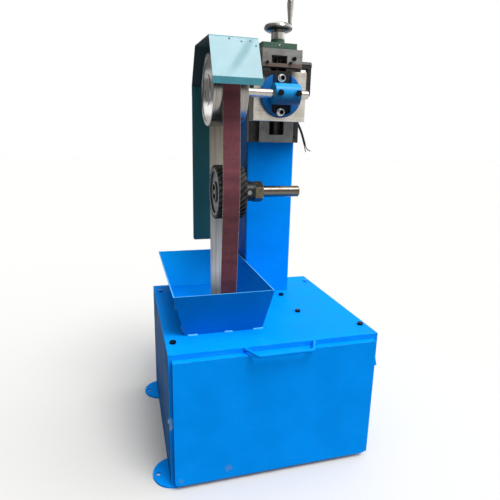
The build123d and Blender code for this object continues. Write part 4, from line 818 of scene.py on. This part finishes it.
class GRINDER_OT_stage(Operator):
    """Sets the camera, the soft light and the pale floor"""

    bl_idname = "grinder.stage"
    bl_label = "Stage"

    def execute(self, context):
        scene, stage = context.scene, context.scene.grinder_stage
        scene.view_settings.view_transform = "Standard"
        view = bpy.data.cameras.new("camera")
        view.lens, view.sensor_width = stage.lens, FRAME_WIDTH
        view.clip_start, view.clip_end = 0.05, 60.0
        scene.camera = in_scene("camera", view)
        turned = (
            Matrix.Rotation(-stage.yaw, 4, "Z")
            @ Matrix.Rotation(math.pi / 2 - stage.pitch, 4, "X")
            @ Matrix.Rotation(stage.roll, 4, "Z")
        )
        scene.camera.matrix_world = Matrix.Translation(stage.camera) @ turned

        lamp = bpy.data.lights.new("key_light", "SUN")
        lamp.energy, lamp.angle = stage.key, stage.key_size
        lamp.color = (1.0, 0.985, 0.96)
        # The light comes from above, in front and a little to the right
        shine = Vector((-0.234, 0.437, -0.87))
        in_scene("key_light", lamp).rotation_euler = shine.to_track_quat("-Z", "Y").to_euler()

        self.light_room(scene, stage)
        self.lay_floor(stage)
        return {"FINISHED"}

    def light_room(self, scene, stage):
        """Room light: a white backdrop for camera and metal, and a soft fill that is strong above."""
        world = scene.world = bpy.data.worlds.new("room")
        world.use_nodes = True
        toward = partial(fade, world, "Generated")
        way = add(world, "SeparateXYZ", [add(world, "TexCoord")["Generated"]])
        backdrop = toward("Z", (0.32, 0.6), (1.0, 0.5))
        ceiling = toward("Z", (0.6, 0.85), (0.0, 0.5))
        backdrop = add(world, "Math", (backdrop, ceiling), "ADD")[0]
        # Metal that faces the camera or the left shows the dimmer sides of the room
        room = toward("Y", (0.0, -0.7), (1.0, 0.5))
        high = toward("Z", (0.45, 0.75))
        room = add(world, "Math", (room, high), "MAXIMUM")[0]
        wall = toward("X", (0.0, -0.5), (1.0, 0.2))
        room = add(world, "Math", (room, wall), "MULTIPLY")[0]
        # Polished faces on the left show what stands behind: a bright sill, a dark wall and a strip of light
        sill = toward("Z", (0.045, 0.053), (0.45, 1.1))
        dark = toward("Z", (0.070, 0.077), (1.0, 0.12))
        strip = add(world, "Math", (way["Z"], 0.131, 0.008), "COMPARE")[0]
        strip = add(world, "Math", (strip, 0.33), "MULTIPLY")[0]
        behind = add(world, "Math", (sill, dark, strip), "MULTIPLY_ADD")[0]
        back = toward("Y", (0.4, 0.6))
        corner = toward("X", (-0.08, -0.14), (0, back))
        room = add(world, "MapRange", (corner, 0.0, 1.0, room, behind))[0]
        to_camera = add(world, "LightPath")["Is Camera Ray"]
        room = add(world, "Math", (room, to_camera), "MAXIMUM")[0]
        shown = add(world, "Math", (backdrop, room), "MULTIPLY")[0]
        fill = toward("Z", (0.0, 1.0), (0.3 * stage.fill, 1.5 * stage.fill))
        # A dark wall stands low on the left, the right is the bright side, and little light comes from behind
        raised = add(world, "Math", (way["Z"], 0.8, way["X"]), "MULTIPLY_ADD")[0]
        left = add(world, "MapRange", (raised, -0.3, 0.5))[0]
        right = toward("X", (0.2, 1.0), (1.0, 2.2))
        rear = toward("Y", (0.7, -0.3), (0.45, 1.0))
        for share in (left, right, rear):
            fill = add(world, "Math", (fill, share), "MULTIPLY")[0]
        strength = add(world, "MapRange", (seen_rays(world), 0.0, 1.0, fill, shown))[0]
        sky = world.node_tree.nodes["Background"]
        feed(world, sky.inputs["Color"], (1, 1, 1, 1))
        feed(world, sky.inputs["Strength"], strength)

    def lay_floor(self, stage):
        """Wide pale floor with a shadow, which lights the machine less than it shows."""
        bm, reach = bmesh.new(), 20.0
        bmesh.ops.create_grid(bm, x_segments=1, y_segments=1, size=reach)
        look = start_look("floor_paint")
        pale = stain(look, stage.floor_bounce, stage.floor, seen_rays(look))
        set_shader(look, base_color=pale, roughness=0.9, specular_ior_level=0.0)
        object_from(bm, "floor", look)


class GRINDER_OT_cable(Operator):
    """Hangs the cable stub and its two bared cores on the column's right side"""

    bl_idname = "grinder.cable"
    bl_label = "Cable"

    # Routes in X and Z; the whole stub hangs at one depth
    route = ((0.1885, 1.0055), (0.199, 0.9895), (0.2085, 0.970), (0.2167, 0.9485), (0.224, 0.926))
    core_routes = (
        ((0.22242, 0.92522), (0.2252, 0.9135), (0.2286, 0.9005)),
        ((0.22574, 0.92631), (0.2296, 0.9155), (0.2372, 0.9086), (0.2500, 0.9040)),
    )
    length = 0.0873
    # Share of a core that still has its insulation
    covered = 0.9

    def execute(self, context):
        cable, metal = context.scene.grinder_cable, context.scene.grinder_metal
        # Jacket and cores hang at one depth, so that their boxes are as deep as they are thick
        (low, high), (core_low, core_high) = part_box("supply_cable"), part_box("cable_cores")
        diameter, core_diameter = high.y - low.y, core_high.y - core_low.y
        jacket = moulded("jacket_pvc", cable.jacket, 0.4, 0.08)
        insulation = moulded("core_pvc", cable.insulation, 0.45, 0.1)
        copper = plated_metal("bare_copper", metal.copper, 0.3)
        depth = middle("supply_cable").y
        route, *core_routes = ([(x, depth, z) for x, z in line] for line in (self.route, *self.core_routes))
        cord = cable_curve("cable_jacket", route, diameter, jacket)
        cores = []
        for number, line in enumerate(core_routes, 1):
            core = cable_curve(f"cable_core_{number}", line, core_diameter, insulation)
            core.data.bevel_factor_end = self.covered
            cores += [core, cable_curve(f"cable_wire_{number}", line, cable.wire, copper)]
        for piece in (cord, *cores):
            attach(piece, "frame")
        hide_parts("supply_cable")
        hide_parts("cable_cores")
        dress(moulded("grommet_rubber", cable.jacket, 0.55), "cable_grommet")
        return {"FINISHED"}


class GRINDER_OT_belt(Operator):
    """Winds the abrasive belt round the wheels, in three lengths that meet without a gap"""

    bl_idname = "grinder.belt"
    bl_label = "Belt"

    # The belt is parted above the contact wheel and below the top wheel, where its runs are straight
    lower_end, upper_start = 0.945, 1.055

    def execute(self, context):
        belt = context.scene.grinder_belt
        low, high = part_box("belt")
        half = (high.x - low.x) / 2
        lift = high.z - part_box("idler_wheel")[1].z - belt.thickness
        cloth = belt.thickness - belt.coat
        bm = bmesh.new()
        wind_band(bm, belt, 0.0, cloth, half, lift, (0, 2, 2, 2))
        wind_band(bm, belt, cloth, belt.thickness, half - belt.bare_edge, lift, (1, 1, 1, 1))
        looks = belt_cloth(belt), grit_coat(belt), frayed_cloth(belt)
        lower, between, upper = pieces = [
            object_from(cut_between(bm, start, end), name, *looks)
            for name, start, end in (
                ("belt_lower", None, self.lower_end),
                ("belt_middle", self.lower_end, self.upper_start),
                ("belt_upper", self.upper_start, None),
            )
        ]
        bm.free()
        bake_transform(lower)
        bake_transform(between)
        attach(upper, "clamp")
        for piece in pieces:
            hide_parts("belt")
        return {"FINISHED"}


class GRINDER_OT_welds(Operator):
    """Lays the weld beads at the feet of hopper and column and at the handle's ends"""

    bl_idname = "grinder.welds"
    bl_label = "Welds"

    def execute(self, context):
        paint = context.scene.grinder_paint
        seed = 7
        luck = random.Random(seed)
        enamel = sprayed_enamel("weld_enamel", paint.blue, paint.blue_worn, 0.35)
        stitch = sprayed_enamel("stitch_enamel", paint.blue_worn, linear("#B9DDF6"), 0.35)
        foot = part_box("top_plate")[1].z + MM
        # The hopper's walls lean out from its foot; the beads lie outside it, clear of the walls' inner faces
        low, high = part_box("hopper")
        draft, draft_right = 31.8 * MM, 22.8 * MM
        stitches = foot_lines(
            low + Vector((draft, draft, 0)), high - Vector((draft_right, draft, 0)), foot,
            ((0.04, 0.17), (0.5, 0.61), (0.87, 1.0)), ((0.05, 0.15), (0.45, 0.55), (0.85, 0.95)),
        )
        # The column's beads stop short of its round corners
        low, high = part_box("column")
        across, along = (7 * MM / side for side in (high - low).xy)
        seams = foot_lines(low, high, foot, [(across, 1 - across)], [(along, 1 - along)])
        low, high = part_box("front_handle")
        reach = 1.15 * (high.z - low.z)
        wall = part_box("top_plate")[0].y - 0.5 * MM
        ends = [
            ((x - side * MM, wall, z), (x + side * reach, wall, z))
            for x, side in ((low.x, 1), (high.x, -1))
            for z in (low.z + MM, high.z - 2 * MM)
        ]
        for name, lines, radius, look in (
            ("hopper_welds", stitches, 3 * MM, stitch),
            ("column_welds", seams, 3.2 * MM, enamel),
            ("handle_welds", ends, 2.2 * MM, enamel),
        ):
            bm = bmesh.new()
            for start, end in lines:
                lay_bead(bm, start, end, radius, luck)
            for face in bm.faces:
                face.smooth = True
            piece = object_from(bm, name, look)
            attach(piece, "frame")
        return {"FINISHED"}


class GRINDER_OT_cabinet(Operator):
    """Paints the cabinet, the hopper, the column and the front cover"""

    bl_idname = "grinder.cabinet"
    bl_label = "Cabinet"

    def execute(self, context):
        paint = context.scene.grinder_paint
        blue = paint.blue, paint.blue_worn
        plain = sprayed_enamel("blue_sprayed_enamel", *blue)
        dress(plain, "base_plate", "top_plate", "front_handle", "switch_box")
        dress(hopper_enamel(paint), "hopper")
        dress(clamp_enamel(paint), "clamp_block")
        dress(sprayed_enamel("column_sprayed_enamel", *blue, shine=0.01, dust_and_shade=True), "column")
        # The paint is rubbed off round the side screw
        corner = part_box("cabinet_shell")[0]
        screw = Vector((corner.x, corner.y + 12 * MM, 0.2))
        shell = sprayed_enamel(
            "shell_sprayed_enamel", *blue, shine=0.01, scuff_colour=linear("#9CC9EC"), dust_and_shade=True,
            scuffs=((screw, 0.05, 0.8), (screw + Vector((0, 0.02, -0.03)), 0.03, 0.7)),
        )
        dress(shell, "cabinet_shell", "cover_screws")
        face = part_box("front_cover")[0].y
        cover = sprayed_enamel(
            "cover_sprayed_enamel", *blue, scuff_colour=paint.scuff,
            scuffs=(((-0.145, face, 0.046), 0.022, 0.4), ((-0.278, face, 0.029), 0.016, 0.3)),
        )
        dress(cover, "front_cover")
        return {"FINISHED"}


class GRINDER_OT_guard(Operator):
    """Paints the belt guard"""

    bl_idname = "grinder.guard"
    bl_label = "Guard"

    def execute(self, context):
        paint = context.scene.grinder_paint
        dress(hood_enamel(paint), "guard_hood")
        dark = sprayed_enamel("guard_dark_enamel", paint.guard, linear("#4E7C7E"), 0.5, 0.15)
        dress(dark, "guard_back", "guard_bracket", "guard_screws")
        return {"FINISHED"}


class GRINDER_OT_slide(Operator):
    """Finishes the tension slide, its head and its feed nut"""

    bl_idname = "grinder.slide"
    bl_label = "Slide"

    def execute(self, context):
        paint, metal = context.scene.grinder_paint, context.scene.grinder_metal
        dress(slide_iron(metal), "slide_base")
        dress(saddle_iron(metal), "saddle", "gib")
        dress(head_steel(metal), "head_block")
        dress(hammer_paint("end_plate_hammer_paint", paint.end_plate, 5 * MM), "end_plate")
        dress(plated_metal("nut_bronze", metal.bronze, 0.4, linear("#5C4426")), "feed_nut")
        dress(dial_steel(metal), "dial_collar")
        # The screw's darker steel is partly painted shade for its channel
        screw = turned_metal("screw_oily_steel", metal.screw, middle("lead_screw"), "Z", 0.35)
        dress(screw, "lead_screw", "crank_spindle")
        return {"FINISHED"}


class GRINDER_OT_wheels(Operator):
    """Finishes the three belt wheels, their shafts and the contact wheel's arm"""

    bl_idname = "grinder.wheels"
    bl_label = "Wheels"

    def execute(self, context):
        paint, metal = context.scene.grinder_paint, context.scene.grinder_metal
        idler, contact, drive = middle("idler_wheel"), middle("contact_hub"), middle("drive_wheel")
        dress(idler_aluminium(metal), "idler_wheel", "idler_cap")
        dress(turned_metal("drive_turned_aluminium", metal.aluminium, drive, "X", 0.35), "drive_wheel")
        dress(turned_metal("hub_turned_aluminium", metal.hub, contact, "X", 0.42, 4 * MM), "contact_hub")
        dress(moulded("tyre_rubber", linear("#161617"), 0.6, pore=2.5 * MM), "contact_tyre")
        dress(turned_metal("shaft_bright_steel", metal.steel, idler, "X", 0.26), "idler_shaft")
        drawn = 70 * MM, 2 * MM, 2 * MM
        dress(cut_metal("axle_drawn_steel", metal.axle, linear("#59422F"), drawn, 0.26), "contact_axle")
        dress(plated_metal("bearing_steel", metal.steel, 0.25), "idler_bearings", "contact_bearings")
        dress(nut_zinc(metal), "axle_fixings")
        dress(hammer_paint("arm_black_paint", paint.black, 4 * MM, 0.3), "contact_arm")
        return {"FINISHED"}


class GRINDER_OT_controls(Operator):
    """Finishes the handwheel, crank, lever and switch buttons"""

    bl_idname = "grinder.controls"
    bl_label = "Controls"

    def execute(self, context):
        paint, metal = context.scene.grinder_paint, context.scene.grinder_metal
        dress(wheel_chrome(metal), "handwheel")
        crank = middle("crank_handle")
        dress(turned_metal("crank_polished_chrome", metal.chrome, crank, "Z", 0.12, 6 * MM), "crank_handle")
        dress(hammer_paint("lever_black_paint", paint.black, 4 * MM, 0.5), "lock_lever")
        dress(moulded("green_button_plastic", linear("#1E8A46"), 0.3, 0.1), "start_button")
        dress(moulded("red_button_plastic", linear("#B3221C"), 0.3, 0.1), "stop_button")
        return {"FINISHED"}


class GRINDER_OT_drive(Operator):
    """Finishes the motor inside the cabinet"""

    bl_idname = "grinder.drive"
    bl_label = "Drive"

    def execute(self, context):
        paint, metal = context.scene.grinder_paint, context.scene.grinder_metal
        grey = sprayed_enamel("motor_grey_paint", paint.motor, linear("#A7AFB2"), 0.5, 0.3)
        dress(grey, "motor_frame", "motor_end_shields", "motor_fan_cover")
        motor = middle("motor_rotor")
        dress(turned_metal("winding_copper", metal.copper, motor, "X", 0.4, 2 * MM), "motor_stator")
        dress(turned_metal("rotor_steel", metal.steel, motor, "X", 0.35), "motor_rotor")
        dress(plated_metal("motor_bearing_steel", metal.steel, 0.25), "motor_bearings")
        dress(moulded("fan_plastic", linear("#1A1B1D"), 0.45), "motor_fan")
        return {"FINISHED"}


class GRINDER_OT_fasteners(Operator):
    """Finishes the bolts, screws and nuts"""

    bl_idname = "grinder.fasteners"
    bl_label = "Fasteners"

    def execute(self, context):
        paint, metal = context.scene.grinder_paint, context.scene.grinder_metal
        dress(plate_bolt_oxide(metal, paint), "top_plate_bolts")
        oxide = plated_metal("black_oxide", metal.oxide, 0.42, linear("#3B3530"), 0.5)
        dress(oxide, "motor_bolts", "clamp_bolts", "head_screws", "gib_screws", "drive_fixings")
        oiled = plated_metal("oiled_bolt_steel", linear("#4A4643"), 0.38, linear("#2B2725"), 0.6)
        dress(oiled, "column_bolts")
        dress(plated_metal("bright_zinc", metal.zinc, 0.26, linear("#8E8E88"), 0.4), "shaft_nut")
        dress(plated_metal("nipple_chrome", metal.chrome, 0.3, spot_share=0.1), "oil_nipple")
        dress(clamp_screw_zinc(), "clamp_screws")
        return {"FINISHED"}


class GRINDER_PT_build(Panel):
    """Steps that build the grinder's looks"""

    bl_idname = "GRINDER_PT_build"
    bl_label = "Belt Grinder"
    bl_space_type = "VIEW_3D"
    bl_region_type = "UI"
    bl_category = "Grinder"

    def draw(self, context):
        for step in STEPS:
            self.layout.operator(step.bl_idname)


SETTINGS = {
    "grinder_paint": GRINDER_PG_paint,
    "grinder_metal": GRINDER_PG_metal,
    "grinder_belt": GRINDER_PG_belt,
    "grinder_cable": GRINDER_PG_cable,
    "grinder_stage": GRINDER_PG_stage,
}
STEPS = (
    GRINDER_OT_stage,
    GRINDER_OT_cable,
    GRINDER_OT_belt,
    GRINDER_OT_welds,
    GRINDER_OT_cabinet,
    GRINDER_OT_guard,
    GRINDER_OT_slide,
    GRINDER_OT_wheels,
    GRINDER_OT_controls,
    GRINDER_OT_drive,
    GRINDER_OT_fasteners,
)
CLASSES = (*SETTINGS.values(), *STEPS, GRINDER_PT_build)


def register():
    for kind in CLASSES:
        bpy.utils.register_class(kind)
    for name, kind in SETTINGS.items():
        setattr(bpy.types.Scene, name, PointerProperty(type=kind))


def unregister():
    for name in SETTINGS:
        delattr(bpy.types.Scene, name)
    for kind in reversed(CLASSES):
        bpy.utils.unregister_class(kind)


def main():
    register()
    for step in STEPS:
        group, name = step.bl_idname.split(".")
        getattr(getattr(bpy.ops, group), name)()


if __name__ == "__main__":
    main()
